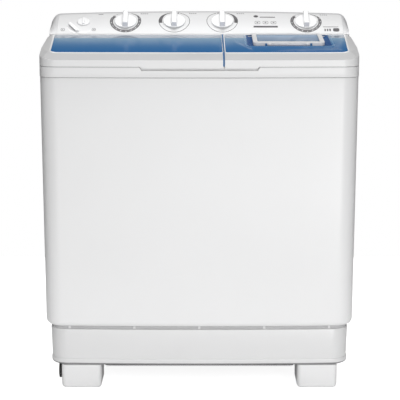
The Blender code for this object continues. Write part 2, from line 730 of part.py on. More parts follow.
def spin_window():
    plan = window_plan(SPLIT_X + 0.004, HALF_W, 0.0004)
    ob = node("spin_lid_window", slab(plan, -0.0002, -0.0002 - PANE), BLUE, 0.08)
    x0, x1, d0, d1 = POCKET
    pan = slab(grown(x0 - 0.003, x1 + 0.003, d0 - 0.003, 0.3195, 0.012), -0.0006, -0.0068)
    fuse(ob, tool("pocket_body", pan))
    top = [(x, yd(d), window_z(d) + 0.002) for x, d in grown(x0, x1, d0, d1, 0.012)]
    low = grown(x0 + 0.0135, x1 - 0.0175, d0 + 0.0080, d1, 0.010)
    low = [(x, yd(d), window_z(d) - 0.0052) for x, d in low]
    cut(ob, tool("pocket_cut", loft([low, top])))
    cut(ob, tool("pour_way", slab(grown(0.180, 0.356, 0.196, 0.305), 0.02, -0.02)))
    for i, x in enumerate(FLAP_POSTS):
        base = slab(grown(x - 0.003, x + 0.003, FLAP_AXIS_D - 0.003, FLAP_AXIS_D + 0.003), 0.0040, -0.0065)
        fuse(ob, tool("knuckle_%d" % i, base))
    for i, x in enumerate(FLAP_POSTS):
        bore = rod(0.0017, 0.02, "X", 8, (x, yd(FLAP_AXIS_D), flap_axis_z()))
        cut(ob, tool("knuckle_bore_%d" % i, bore))
    on_hinge(ob, HINGE_D, HINGE_Z)


def flap_axis_z():
    return window_z(FLAP_AXIS_D) + 0.0010


def flap():
    x0, x1, d0, d1 = FLAP
    z0 = -0.0047
    ob = node("flap_frame", slab(grown(x0, x1, d0, d1, 0.012), 0.0052, z0), WHITE, 0.25)
    light = grown(x0 + 0.0135, x1 - 0.0135, d0 + 0.019, d1 - 0.0055)
    cut(ob, tool("flap_light", slab(light, 0.02, -0.02)))
    rebate = grown(x0 + 0.0095, x1 - 0.0095, d0 + 0.015, d1 - 0.0030)
    cut(ob, tool("flap_rebate", slab(rebate, 0.0012, -0.02)))
    for i, x in enumerate(FLAP_LUGS):
        lug = slab(grown(x - 0.0035, x + 0.0035, FLAP_AXIS_D - 0.0028, d0 + 0.003), 0.0036, -0.0016)
        fuse(ob, tool("flap_lug_%d" % i, lug))
        cut(ob, tool("flap_bore_%d" % i, rod(0.0019, 0.02, "X", 8, (x, yd(FLAP_AXIS_D), flap_axis_z()))))
    pane = grown(x0 + 0.0099, x1 - 0.0099, d0 + 0.0154, d1 - 0.0034)
    win = node("flap_window", slab(pane, 0.0009, -0.0018), BLUE, 0.08)
    on_hinge(ob, FLAP_AXIS_D, flap_axis_z())
    on_hinge(win, FLAP_AXIS_D, flap_axis_z())


# ---------------------------------------------------------------- wash side
def wash_tub():
    def ring(z, inset, r=0.060):
        return outline(0.236 - inset, 0.028 + inset, 0.496 - inset, z, r, r, 0, WASH_X)

    rings = [
        ring(0.4700, 0.060, 0.040), ring(0.4720, 0.034), ring(0.4850, 0.016), ring(0.52, 0.010),
        ring(0.9560, 0.000), ring(0.9560, -0.010), ring(0.9617, -0.010), ring(0.9617, 0.003),
        ring(0.52, 0.013), ring(0.4880, 0.019), ring(0.4755, 0.036), ring(0.4732, 0.060, 0.040),
    ]
    ob = node("wash_tub", loft(rings), WHITE, 0.3)
    cut(ob, tool("gear_way", rod(0.0135, 0.03, "Z", 16, (WASH_X, yd(WASH_D), 0.472))))
    cut(ob, tool("drain_way", rod(0.0150, 0.03, "Z", 16, (DRAIN_X - 0.055, yd(0.440), 0.472))))


def pulsator():
    at = (WASH_X, yd(WASH_D), 0)
    profile = [
        (0.0, 0.5130), (0.018, 0.5130), (0.030, 0.5060), (0.060, 0.4960), (0.120, 0.4900), (0.165, 0.4925),
        (0.172, 0.4900), (0.172, 0.4800), (0.168, 0.4800), (0.160, 0.4860), (0.060, 0.4860), (0.024, 0.4900),
        (0.024, 0.4780), (0.0078, 0.4780), (0.0078, 0.5080), (0.0, 0.5080),
    ]
    ob = turned("pulsator", profile, 20, (0.55, 0.68, 0.80), 0.3, at=at)
    for i in range(4):
        turn = math.pi / 2 * i
        low = [(0.024, -0.013), (0.152, -0.009), (0.152, 0.009), (0.024, 0.013)]
        high = [(0.030, -0.004), (0.146, -0.003), (0.146, 0.003), (0.030, 0.004)]
        bm = loft([[(x, y, 0.4880) for x, y in low], [(x, y, 0.5200) for x, y in high]])
        bmesh.ops.rotate(bm, matrix=Matrix.Rotation(turn, 3, "Z"), verts=bm.verts)
        fuse(ob, tool("vane_%d" % i, bm, at))


def wash_drive():
    at = (WASH_X, yd(WASH_D), 0)
    turned("pulsator_shaft", [(0, 0.5070), (0.0075, 0.5070), (0.0075, 0.4120), (0, 0.4120)], 12,
           STEEL, 0.25, 1.0, at)
    body = [(0.0130, 0.4765), (0.0130, 0.4590), (0.030, 0.4560), (0.030, 0.4500), (0.062, 0.4500),
            (0.062, 0.4440), (0.056, 0.4400), (0.056, 0.3850), (0.050, 0.3720), (0.022, 0.3680),
            (0.022, 0.3560), (0.0078, 0.3560), (0.0078, 0.4765)]
    turned("wash_gearbox", body, 16, (0.50, 0.51, 0.53), 0.45, 0.8, at, loop=True)
    pulley = [(0, 0.4060), (0.0074, 0.4060), (0.0074, 0.3480), (0.020, 0.3480), (0.020, 0.3430),
              (0.0700, 0.3430), (0.0700, 0.3410), (0.0625, 0.3380), (0.0625, 0.3320), (0.0700, 0.3290),
              (0.0700, 0.3270), (0.018, 0.3270), (0.018, 0.3220), (0, 0.3220)]
    turned("gearbox_pulley", pulley, 20, STEEL, 0.4, 1.0, at)
    mat = (MOTOR_X, yd(MOTOR_D), 0)
    small = [(0, 0.3900), (0.0058, 0.3900), (0.0058, 0.3450), (0.0240, 0.3450), (0.0240, 0.3410),
             (0.0175, 0.3380), (0.0175, 0.3320), (0.0240, 0.3290), (0.0240, 0.3250), (0, 0.3250)]
    turned("motor_pulley", small, 14, STEEL, 0.4, 1.0, mat)
    motor = [(0, 0.4490), (0.030, 0.4490), (0.034, 0.4440), (0.060, 0.4380), (0.060, 0.3780),
        (0.034, 0.3700),
             (0.016, 0.3680), (0.016, 0.3520), (0.0062, 0.3520), (0.0062, 0.3930), (0, 0.3930)]
    turned("wash_motor", motor, 16, (0.30, 0.31, 0.33), 0.5, 0.6, mat)
    plate = node("drive_bracket", block(-0.290, 0.030, yd(0.196), yd(0.366), 0.4505, 0.4545),
        STEEL, 0.5, 0.9)
    cut(plate, tool("bracket_bore", rod(0.0310, 0.02, "Z", 24, (WASH_X, yd(WASH_D), 0.4525))))
    leg = block(-0.290, 0.030, yd(0.196), yd(0.199), 0.4505, 0.4690)
    fuse(plate, tool("bracket_leg_a", leg))
    leg = block(-0.290, 0.030, yd(0.363), yd(0.366), 0.4505, 0.4690)
    fuse(plate, tool("bracket_leg_b", leg))
    node("drive_belt", belt(), RUBBER, 0.8)


def belt():
    """Flat loop round both pulleys, sitting in their grooves."""
    ax, ay = WASH_X, yd(WASH_D)
    bx, by = MOTOR_X, yd(MOTOR_D)
    line = math.atan2(by - ay, bx - ax)
    span = math.hypot(bx - ax, by - ay)

    def loop(grow, z):
        ra = 0.0630 + grow
        rb = 0.0180 + grow
        off = math.acos((ra - rb) / span)
        pts = []
        for i in range(17):
            t = line + off + (2 * math.pi - 2 * off) * i / 16
            pts.append((ax + ra * math.cos(t), ay + ra * math.sin(t), z))
        for i in range(9):
            t = line - off + 2 * off * i / 8
            pts.append((bx + rb * math.cos(t), by + rb * math.sin(t), z))
        return pts

    z0 = BELT_Z - 0.0026
    z1 = BELT_Z + 0.0026
    return loft([loop(0.0, z0), loop(0.0, z1), loop(0.0055, z1), loop(0.0055, z0)], loop=True)


def lint_filter():
    """Filter box clipped to the rear wall of the wash tub."""
    x0, x1 = WASH_X - 0.055, WASH_X + 0.055
    rear = 0.478
    ob = node("lint_filter", block(x0, x1, yd(rear - 0.022), yd(rear), 0.660, 0.850),
        (0.75, 0.80, 0.85), 0.4)
    cut(ob, tool("filter_hollow", block(x0 + 0.003, x1 - 0.003, yd(rear - 0.019), yd(rear + 0.02),
        0.663, 0.847)))
    for i in range(4):
        z = 0.690 + 0.038 * i
        cut(ob, tool("filter_slot_%d" % i, block(x0 + 0.012, x1 - 0.012, yd(rear - 0.04),
            yd(rear - 0.01), z, z + 0.016)))


# ---------------------------------------------------------------- spin side
def spin_tub():
    at = (SPIN_X, yd(SPIN_D), 0)
    r = SPIN_R
    profile = [
        (r + 0.006, 0.9617), (r + 0.006, 0.9560), (r, 0.9560), (r - 0.003, 0.4800), (r - 0.016, 0.4650),
        (0.042, 0.4650), (0.042, 0.4600), (0.032, 0.4600), (0.032, 0.4680), (r - 0.017, 0.4680),
        (r - 0.006, 0.4810), (r - 0.003, 0.9617),
    ]
    ob = turned("spin_tub", profile, 28, WHITE, 0.3, at=at, loop=True)
    fuse(ob, brake_pivot())
    cut(ob, tool("spin_drain_way", rod(0.0110, 0.03, "Z", 14, (SPIN_DRAIN_X, yd(SPIN_DRAIN_D), 0.466))))


def spin_basket():
    at = (SPIN_X, yd(SPIN_D), 0)
    r = BASKET_R
    profile = [
        (0.127, 0.9000), (0.140, 0.9000), (r, 0.8880), (r - 0.004, 0.5200), (r - 0.018, 0.5060),
            (0.060, 0.5060),
        (0.050, 0.5000), (0.0085, 0.5000), (0.0085, 0.5360), (0.022, 0.5360), (0.030, 0.5110),
            (r - 0.019, 0.5090),
        (r - 0.0075, 0.5215), (r - 0.0045, 0.8420), (0.1235, 0.8555), (0.1235, 0.8585), (r - 0.0042, 0.8600),
        (r - 0.0038, 0.8865), (0.139, 0.8970), (0.127, 0.8970),
    ]
    ob = turned("spin_basket", profile, 24, (0.80, 0.81, 0.82), 0.3, at=at, loop=True)
    for row in range(2):
        z = 0.620 + 0.140 * row
        for i in range(6):
            turn = math.tau * (i + 0.5 * (row % 2)) / 12 + math.tau / 48
            bm = rod(0.0045, 2 * r + 0.02, "X", 6, (0, 0, z))
            bmesh.ops.rotate(bm, matrix=Matrix.Rotation(turn, 3, "Z"), verts=bm.verts)
            cut(ob, tool("drain_hole_%d_%d" % (row, i), bm, at))


def press_cover():
    at = (SPIN_X, yd(SPIN_D), 0)
    profile = [(0.012, 0.8720), (0.020, 0.8680), (0.100, 0.8640), (0.118, 0.8660), (0.1262, 0.8660),
               (0.1262, 0.8590), (0.112, 0.8590), (0.100, 0.8605), (0.020, 0.8645), (0.012, 0.8680)]
    turned("press_cover", profile, 24, (0.70, 0.76, 0.82), 0.3, at=at, loop=True)


def spin_drive():
    at = (SPIN_X, yd(SPIN_D), 0)
    turned("spin_shaft", [(0, 0.5340), (0.0082, 0.5340), (0.0082, 0.3420),
        (0, 0.3420)], 12, STEEL, 0.25, 1.0, at)
    seal = [(0.0312, 0.4780), (0.0312, 0.4550), (0.0400, 0.4500), (0.0400, 0.4400), (0.0280, 0.4330),
            (0.0280, 0.4250), (0.0120, 0.4200), (0.0090, 0.4200), (0.0090, 0.4780)]
    turned("spin_seal", seal, 12, RUBBER, 0.7, 0, at, loop=True)
    drum = [(0, 0.3410), (0.0086, 0.3410), (0.0086, 0.3780), (0.0200, 0.3780), (0.0200, 0.3520),
        (0.0520, 0.3500), (0.0520, 0.3220),
            (0.0490, 0.3220), (0.0490, 0.3470), (0.0200, 0.3400), (0.0200, 0.3100), (0.0060, 0.3100),
            (0.0060, 0.2500), (0, 0.2500)]
    turned("brake_drum", drum, 18, (0.45, 0.46, 0.48), 0.5, 0.9, at)
    body = [(0, 0.2450), (0.0064, 0.2450), (0.0064, 0.2950), (0.0180, 0.2950), (0.0200, 0.2840),
        (0.0660, 0.2760), (0.0700, 0.2700),
            (0.0700, 0.1700), (0.0640, 0.1620), (0, 0.1620)]
    turned("spin_motor", body, 18, (0.30, 0.31, 0.33), 0.5, 0.6, at)


def motor_mounts():
    """Three sprung rubber posts under the spin motor."""
    for angle, tag in MOUNTS:
        a = math.radians(angle)
        at = (SPIN_X + 0.052 * math.cos(a), yd(SPIN_D) + 0.052 * math.sin(a), 0)
        profile = [(0, 0.1616), (0.010, 0.1616), (0.010, 0.1560), (0.007, 0.1500), (0.011, 0.1430),
                   (0.008, 0.1360), (0.012, 0.1280), (0.012, 0.1093), (0, 0.1093)]
        turned("motor_mount_" + tag, profile, 8, RUBBER, 0.7, 0, at)


def brake_lever():
    """Arm with a shoe that stands just off the brake drum."""
    px, pd = BRAKE_AT
    cx, cy = SPIN_X, yd(SPIN_D)
    outer = []
    inner = []
    for i in range(6):
        t = math.radians(140 + 10 * i)
        inner.append((cx + 0.0545 * math.cos(t), cy + 0.0545 * math.sin(t)))
        outer.append((cx + 0.0625 * math.cos(t), cy + 0.0625 * math.sin(t)))
    pts = inner + outer[::-1]
    shoe = loft([[(x, y, 0.3250) for x, y in pts], [(x, y, 0.3450) for x, y in pts]])
    ob = node("brake_lever", shoe, STEEL, 0.5, 0.8)
    arm = block(px - 0.006, cx - 0.056, yd(pd) - 0.006, cy + 0.020, 0.3300, 0.3400)
    fuse(ob, tool("brake_arm", arm))
    cut(ob, tool("brake_bore", rod(0.0034, 0.04, "Z", 12, (px, yd(pd), 0.335))))
    for v in ob.data.vertices:
        v.co -= Vector((px, yd(pd), 0))
    ob.location = (px, yd(pd), 0)


def brake_pivot():
    """Pivot pin moulded under the spin tub floor; the brake lever turns on it."""
    px, pd = BRAKE_AT
    profile = [(0, 0.4665), (0.0090, 0.4665), (0.0070, 0.4560), (0.0070, 0.3440), (0.0030, 0.3440),
               (0.0030, 0.3260), (0, 0.3260)]
    return turned("brake_pivot", profile, 12, WHITE, at=(px, yd(pd), 0), cutter=True)


# ---------------------------------------------------------------- drain
def drain():
    x = DRAIN_X - 0.055
    at = (x, yd(0.440), 0)
    pipe = [(0.0145, 0.4728), (0.0145, 0.2000), (0.0115, 0.2000), (0.0115, 0.4728)]
    turned("drain_pipe", pipe, 12, GREY, 0.6, 0, at, loop=True)
    body = block(x - 0.024, DRAIN_X + 0.024, yd(0.416), yd(0.464), 0.1200, 0.1997)
    ob = node("drain_valve_body", body, WHITE, 0.4)
    upper = block(x - 0.020, DRAIN_X + 0.020, yd(0.420), yd(0.460), 0.1500, 0.1957)
    cut(ob, tool("valve_upper", upper))
    lower = block(DRAIN_X - 0.020, DRAIN_X + 0.020, yd(0.420), yd(0.460), 0.1235, 0.1460)
    cut(ob, tool("valve_lower", lower))
    cut(ob, tool("valve_seat", rod(0.0100, 0.012, "Z", 16, (DRAIN_X, yd(0.440), 0.1480))))
    cut(ob, tool("valve_in", rod(0.0112, 0.03, "Z", 14, (x, yd(0.440), 0.198))))
    cut(ob, tool("valve_stem_way", rod(0.0034, 0.03, "Z", 12, (DRAIN_X, yd(0.440), 0.198))))
    cut(ob, tool("valve_out", rod(0.0108, 0.014, "Y", 14, (DRAIN_X, yd(0.464), DRAIN_Z))))
    cut(ob, tool("spin_in", rod(0.0092, 0.014, "X", 14, (DRAIN_X + 0.024, yd(0.440), 0.1348))))
    spout = [(0.0160, 0.0), (0.0160, -0.0835), (0.0128, -0.0835), (0.0128, 0.0)]
    ob = turned("drain_outlet", spout, 12, GREY, 0.5, 0, (DRAIN_X, yd(0.548), DRAIN_Z), loop=True)
    ob.rotation_euler = (-math.pi / 2, 0, 0)
    plug = [(0, 0.2250), (0.0030, 0.2250), (0.0030, 0.1620), (0.0140, 0.1570), (0.0140, 0.1506), (0, 0.1506)]
    turned("drain_valve_plug", plug, 12, (0.15, 0.15, 0.16), 0.6, 0, (DRAIN_X, yd(0.440), 0))


def spin_drain_pipe():
    """Bent pipe from the spin tub floor to the drain valve body."""
    curve = bpy.data.curves.new("spin_drain_path", "CURVE")
    curve.dimensions = "3D"
    sp = curve.splines.new("POLY")
    pts = [(SPIN_DRAIN_X, yd(SPIN_DRAIN_D), 0.4640), (SPIN_DRAIN_X, yd(SPIN_DRAIN_D), 0.1900),
           (SPIN_DRAIN_X, yd(SPIN_DRAIN_D + 0.020), 0.1560), (SPIN_DRAIN_X, yd(0.415), 0.1360),
           (SPIN_DRAIN_X - 0.022, yd(0.440), 0.1348), (DRAIN_X + 0.0245, yd(0.440), 0.1348)]
    sp.points.add(len(pts) - 1)
    for p, co in zip(sp.points, pts):
        p.co = (*co, 1.0)
    curve.bevel_depth = 0.0100
    curve.bevel_resolution = 2
    curve.use_fill_caps = True
    path = bpy.data.objects.new("spin_drain_path", curve)
    CUTS.objects.link(path)
    deps = bpy.context.evaluated_depsgraph_get()
    mesh = bpy.data.meshes.new_from_object(path.evaluated_get(deps))
    bm = bmesh.new()
    bm.from_mesh(mesh)
    bmesh.ops.remove_doubles(bm, verts=bm.verts, dist=0.00001)
    bpy.data.objects.remove(path, do_unlink=True)
    node("spin_drain_pipe", bm, GREY, 0.6)


# ---------------------------------------------------------------- electrics
def electrics():
    node("capacitor", rod(0.020, 0.075, "Z", 16),
        (0.75, 0.76, 0.78), 0.4, 0, (0.200, yd(0.440), 0.1470), smooth=True)
    node("lid_switch", block(0.395, 0.425, yd(0.3500), yd(0.3800), 0.9665, 0.9900), DARK, 0.5)


def build():
    base_frame()
    base_tray()
    foot("foot_front_left", -1, 0.0275, 0.0370, 0.150, WHEEL_FRONT_D)
    foot("foot_front_right", 1, 0.0275, 0.0370, 0.150, None)
    foot("foot_rear_left", -1, 0.420, 0.420, 0.520, WHEEL_REAR_D)
    foot("foot_rear_right", 1, 0.420, 0.420, 0.520, None)
    wheel("wheel_front", WHEEL_FRONT_D)
    wheel("wheel_rear", WHEEL_REAR_D)
    cabinet()
    rear_panel()
    top_frame()
    control_housing()
    control_fascia()
    knob("wash_timer_knob", 0)
    knob("wash_mode_knob", 1)
    knob("drain_knob", 2)
    knob("spin_timer_knob", 3)
    inlet_cap()
    inlet_lever()
    control_box("wash_timer", 0, 0.027, 0.024, 0.034)
    control_box("mode_switch", 1, 0.018, 0.018, 0.022)
    control_box("drain_selector", 2, 0.018, 0.018, 0.022)
    control_box("spin_timer", 3, 0.024, 0.024, 0.034)
    lid_frame("wash_lid_frame", -HALF_W - 0.01, SPLIT_X - SPLIT_GAP, (-0.400, 0.016))
    lid_frame("spin_lid_frame", SPLIT_X + SPLIT_GAP, HALF_W + 0.01, (0.124, 0.416))
    wash_window()
    spin_window()
    flap()
    hinge_rod("wash_hinge_rod", -0.4060, 0.0340, HINGE_D, HINGE_Z, 0.0025)
    hinge_rod("spin_hinge_rod", 0.1060, 0.4340, HINGE_D, HINGE_Z, 0.0025)
    hinge_rod("flap_hinge_rod", 0.1950, 0.3373, FLAP_AXIS_D, flap_axis_z(), 0.0014)
    wash_tub()
    pulsator()
    wash_drive()
    lint_filter()
    spin_tub()
    spin_basket()
    press_cover()
    spin_drive()
    motor_mounts()
    brake_lever()
    drain()
    spin_drain_pipe()
    electrics()


build()
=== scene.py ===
# Twin tub washer: visible pieces over the CAD frame, materials, floor, light and camera.
import math
import bpy
import bmesh
from mathutils import Matrix, Vector


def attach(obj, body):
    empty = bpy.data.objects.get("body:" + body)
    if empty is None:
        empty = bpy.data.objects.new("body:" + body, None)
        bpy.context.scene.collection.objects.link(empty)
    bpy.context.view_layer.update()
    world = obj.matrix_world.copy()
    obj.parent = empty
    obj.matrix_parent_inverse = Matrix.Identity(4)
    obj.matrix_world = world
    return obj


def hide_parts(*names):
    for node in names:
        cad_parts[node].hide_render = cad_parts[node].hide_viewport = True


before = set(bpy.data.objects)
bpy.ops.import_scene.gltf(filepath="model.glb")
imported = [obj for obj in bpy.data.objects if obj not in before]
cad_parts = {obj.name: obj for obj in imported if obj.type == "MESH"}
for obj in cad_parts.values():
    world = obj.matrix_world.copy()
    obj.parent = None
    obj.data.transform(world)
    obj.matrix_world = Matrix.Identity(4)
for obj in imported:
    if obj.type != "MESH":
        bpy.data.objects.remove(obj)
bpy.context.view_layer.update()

# ---------------------------------------------------------------- dimensions, as in the CAD
HALF_W = 0.465            # half the width of the body
FRONT = -0.275            # y of the foremost line of the body
BOW = 0.012               # how far the front falls back at its ends
R_FRONT = 0.055           # plan corner radii
R_REAR = 0.022
GAP = 0.0003              # clearance between pieces that touch
LIP_Z = 0.0735            # levels, from the floor
BASE_TOP = 0.1837
CAB_TOP = 0.934
DECK_TOP = 0.966
WALL = 0.0035
SPLIT_X = 0.072           # line where the two lids meet, and half its gap
SPLIT_GAP = 0.0018
LID_END = 0.3325          # rear edge of the lids, as a depth from the front
HINGE_D = 0.3075
HINGE_Z = 1.0265
SIDE_FRONT = (0.980, 0.272, 0.33)     # lid side facets: level at the front corner, rise, lean
SIDE_REAR = (1.0008, 0.107, 0.18)
LIP_X = (-0.1700, 0.1720)             # finger lip under the front edge of the lids
LIP_LOW = 0.9613
STRIP_D = 0.2745          # depth where the glossier rear strip of the windows, with its painted reflection, starts
FOOT_D = 0.335            # lower edge of the control face
FOOT_Z = 1.0399
FACE_LEN = 0.118
FACE_A0 = math.radians(46)
FACE_A1 = math.radians(19)
FACE_R = FACE_LEN / (FACE_A0 - FACE_A1)
DIAL_S = 0.060            # distances up the control face are called s
DIAL_X = (-0.230, -0.078, 0.0715, 0.3325)
CAP_X = -0.3608
CAP_S = 0.0590
LEVER_X = -0.3795
LEVER_S = 0.0160
POCKET = (0.139, 0.400, 0.148, 0.3225)       # x0, x1, d0, d1 of the pocket and of the flap in it
FLAP = (0.161, 0.375, 0.1745, 0.3195)
FLAP_AXIS_D = 0.1655
FLAP_LUGS = (0.2103, 0.3220)
FLAP_POSTS = (0.1990, 0.3333)
LID_POSTS = (-0.388, 0.028, 0.112, 0.428)    # hinge posts on the deck
WASH_X = -0.198           # centres of the two sides
WASH_D = 0.262
SPIN_X = 0.255
SPIN_D = 0.195
SPIN_R = 0.168
BASKET_R = 0.150
BRAKE_AT = (0.180, 0.188)
DRAIN_X = 0.045
SPIN_DRAIN_X = 0.155
SPIN_DRAIN_D = 0.255
AXLE_Z = 0.0305
SKY = 0.56                # brightness of the white surround
WHITE_RGBA = (1.0, 1.0, 1.0, 1.0)


def yd(depth):
    return FRONT + depth


# ---------------------------------------------------------------- node materials
def new_material(name):
    mat = bpy.data.materials.new(name)
    mat.use_nodes = True
    tree = mat.node_tree
    shader = tree.nodes["Principled BSDF"]
    coord = tree.nodes.new("ShaderNodeTexCoord")
    return mat, tree, shader, coord


def noise(tree, coord, scale, detail=3.0):
    tex = tree.nodes.new("ShaderNodeTexNoise")
    tex.inputs["Scale"].default_value = scale
    tex.inputs["Detail"].default_value = detail
    tree.links.new(coord.outputs["Object"], tex.inputs["Vector"])
    return tex


def mapped(tree, source, start, end, low=0.0, high=1.0, smooth=False):
    """Map start..end of a value to low..high."""
    node = tree.nodes.new("ShaderNodeMapRange")
    if smooth:
        node.interpolation_type = "SMOOTHSTEP"
    for name, value in (("From Min", start), ("From Max", end), ("To Min", low), ("To Max", high)):
        node.inputs[name].default_value = value
    tree.links.new(source, node.inputs["Value"])
    return node.outputs["Result"]


def spread(tree, source, low, high):
    """Map the usual range of a noise value to low..high."""
    return mapped(tree, source, 0.3, 0.7, low, high)


def calculated(tree, operation, first, second=None):
    node = tree.nodes.new("ShaderNodeMath")
    node.operation = operation
    tree.links.new(first, node.inputs[0])
    if isinstance(second, float):
        node.inputs[1].default_value = second
    elif second:
        tree.links.new(second, node.inputs[1])
    return node.outputs["Value"]


def tinted(tree, factor, dark, light):
    mix = tree.nodes.new("ShaderNodeMix")
    mix.data_type = "RGBA"
    mix.inputs["A"].default_value = (*dark, 1.0)
    mix.inputs["B"].default_value = (*light, 1.0)
    tree.links.new(factor, mix.inputs["Factor"])
    return mix.outputs["Result"]


def bumped(tree, shader, height, strength, distance):
    bump = tree.nodes.new("ShaderNodeBump")
    bump.inputs["Strength"].default_value = strength
    bump.inputs["Distance"].default_value = distance
    tree.links.new(height, bump.inputs["Height"])
    tree.links.new(bump.outputs["Normal"], shader.inputs["Normal"])


def plastic(name, colour, rough=0.30, vary=0.012, grain=0.10, grain_scale=700.0, coat=0.0):
    """Moulded plastic: slow colour drift, fine mould grain, uneven gloss."""
    mat, tree, shader, coord = new_material(name)
    slow = noise(tree, coord, 5.0, 2.0)
    fine = noise(tree, coord, grain_scale, 2.0)
    dark = tuple(c * (1 - vary) for c in colour)
    light = tuple(min(1.0, c * (1 + vary)) for c in colour)
    tree.links.new(tinted(tree, slow.outputs["Fac"], dark, light), shader.inputs["Base Color"])
    mid = noise(tree, coord, 38.0, 3.0)
    tree.links.new(spread(tree, mid.outputs["Fac"], rough - 0.012, rough + 0.016),
                   shader.inputs["Roughness"])
    bumped(tree, shader, fine.outputs["Fac"], grain, 0.0002)
    shader.inputs["Coat Weight"].default_value = coat
    shader.inputs["Coat Roughness"].default_value = 0.08
    return mat


def metal(name, colour, rough=0.32, stretch=(1.0, 1.0, 30.0), grain=0.15):
    """Drawn or turned metal: fine streaks along one axis."""
    mat, tree, shader, coord = new_material(name)
    scale = tree.nodes.new("ShaderNodeMapping")
    scale.inputs["Scale"].default_value = stretch
    tree.links.new(coord.outputs["Object"], scale.inputs["Vector"])
    streak = noise(tree, coord, 60.0, 4.0)
    tree.links.new(scale.outputs["Vector"], streak.inputs["Vector"])
    dark = tuple(c * 0.88 for c in colour)
    tree.links.new(tinted(tree, streak.outputs["Fac"], dark, colour), shader.inputs["Base Color"])
    tree.links.new(spread(tree, streak.outputs["Fac"], rough - 0.06, rough + 0.10),
                   shader.inputs["Roughness"])
    bumped(tree, shader, streak.outputs["Fac"], grain, 0.0001)
    shader.inputs["Metallic"].default_value = 1.0
    return mat


def casting(name, colour, rough=0.55):
    """Cast or painted metal with an orange-peel surface."""
    mat, tree, shader, coord = new_material(name)
    peel = noise(tree, coord, 260.0, 3.0)
    slow = noise(tree, coord, 18.0, 3.0)
    dark = tuple(c * 0.85 for c in colour)
    tree.links.new(tinted(tree, slow.outputs["Fac"], dark, colour), shader.inputs["Base Color"])
    tree.links.new(spread(tree, peel.outputs["Fac"], rough - 0.08, rough + 0.08), shader.inputs["Roughness"])
    bumped(tree, shader, peel.outputs["Fac"], 0.35, 0.0005)
    shader.inputs["Metallic"].default_value = 0.7
    return mat


def rubber(name, colour):
    mat, tree, shader, coord = new_material(name)
    dust = noise(tree, coord, 30.0, 5.0)
    fine = noise(tree, coord, 900.0, 2.0)
    light = tuple(min(1.0, c * 1.9 + 0.004) for c in colour)
    tree.links.new(tinted(tree, dust.outputs["Fac"], colour, light), shader.inputs["Base Color"])
    tree.links.new(spread(tree, dust.outputs["Fac"], 0.55, 0.75), shader.inputs["Roughness"])
    bumped(tree, shader, fine.outputs["Fac"], 0.3, 0.0002)
    return mat


def glazing(name, near, far, y_near, y_far, alpha=0.90, rough=0.06, power=1.0, ior=1.5, gloss=0.5, lift=0.0):
    """Tinted glossy window; its colour runs from one tint at the front edge to another at the rear edge."""
    mat, tree, shader, coord = new_material(name)
    split = tree.nodes.new("ShaderNodeSeparateXYZ")
    tree.links.new(coord.outputs["Object"], split.inputs["Vector"])
    run = mapped(tree, split.outputs["Y"], y_near, y_far)
    curve = calculated(tree, "POWER", run, power)
    tree.links.new(tinted(tree, curve, near, far), shader.inputs["Base Color"])
    haze = noise(tree, coord, 25.0, 2.0)
    tree.links.new(spread(tree, haze.outputs["Fac"], rough, rough + 0.03), shader.inputs["Roughness"])
    if lift:
        bumped(tree, shader, split.outputs["Y"], 1.0, lift)
    shader.inputs["Alpha"].default_value = alpha
    shader.inputs["IOR"].default_value = ior
    shader.inputs["Specular IOR Level"].default_value = gloss
    return mat


WHITE = plastic("gloss_white", (0.800, 0.800, 0.802), 0.32)
FASCIA = plastic("satin_white", (0.690, 0.690, 0.692), 0.38)
PALE = plastic("pale_housing", (0.600, 0.600, 0.605), 0.34)
# greyer white for the upward faces of the lid frames: painted shade on the tops
BEVEL = plastic("lid_top_painted_shade", (0.575, 0.575, 0.577), 0.34)
# dark grey for the underside of the base's rolled lip: painted shade
LIP_PAINTED_SHADE = plastic("lip_painted_shade", (0.260, 0.260, 0.265), 0.5)
BASEW = plastic("base_white", (0.710, 0.710, 0.712), 0.24)
FOOTW = plastic("foot_white", (0.780, 0.780, 0.782), 0.42, grain=0.2)
# mid grey for the cabinet's lower roll into the groove above the base: painted shade
GROOVE_PAINTED_SHADE = plastic("groove_painted_shade", (0.480, 0.480, 0.485), 0.45)
# bluish grey for the lower end face of each knob grip: painted shade
KNOB_END_PAINTED_SHADE = plastic("knob_end_painted_shade", (0.680, 0.685, 0.715), 0.35)
PRINT = plastic("print_grey", (0.110, 0.106, 0.110), 0.55)
PRINT_MID = plastic("print_light", (0.240, 0.236, 0.244), 0.55)
PRINT_DARK = plastic("print_dark", (0.085, 0.080, 0.085), 0.55)
INNER = plastic("tub_white", (0.780, 0.795, 0.810), 0.35, vary=0.02, grain=0.15)
COOL = plastic("pulsator_blue", (0.420, 0.560, 0.700), 0.30)
GREY = plastic("pipe_grey", (0.360, 0.370, 0.385), 0.45, grain=0.2)
# near-black plastic; on the base tray it is partly painted shade in the recess under the base
DARK_PLASTIC_AND_SHADE = plastic("dark_plastic_and_painted_shade", (0.030, 0.030, 0.033), 0.50, vary=0.1, grain=0.25)
STEEL = metal("brushed_steel", (0.60, 0.61, 0.63))
CAST = casting("cast_aluminium", (0.50, 0.51, 0.53))
MOTOR = casting("motor_paint", (0.20, 0.21, 0.23), 0.5)
RUBBER = rubber("black_rubber", (0.018, 0.018, 0.019))
BLUE = glazing("blue_window", (0.033, 0.130, 0.310), (0.190, 0.300, 0.400), yd(0.05), yd(0.2745), 0.97,
               0.10, 2.1,
               1.4, 0.008)
# lighter, greyer blue for the rear strip of the windows: painted reflection of the control face
BLUE_REAR_PAINTED_REFLECTION = glazing("blue_window_rear_painted_reflection", (0.230, 0.290, 0.370), (0.300, 0.350, 0.410), yd(0.28), yd(0.327),
                    0.97, 0.02,
                    1.0, 1.8, 0.5)
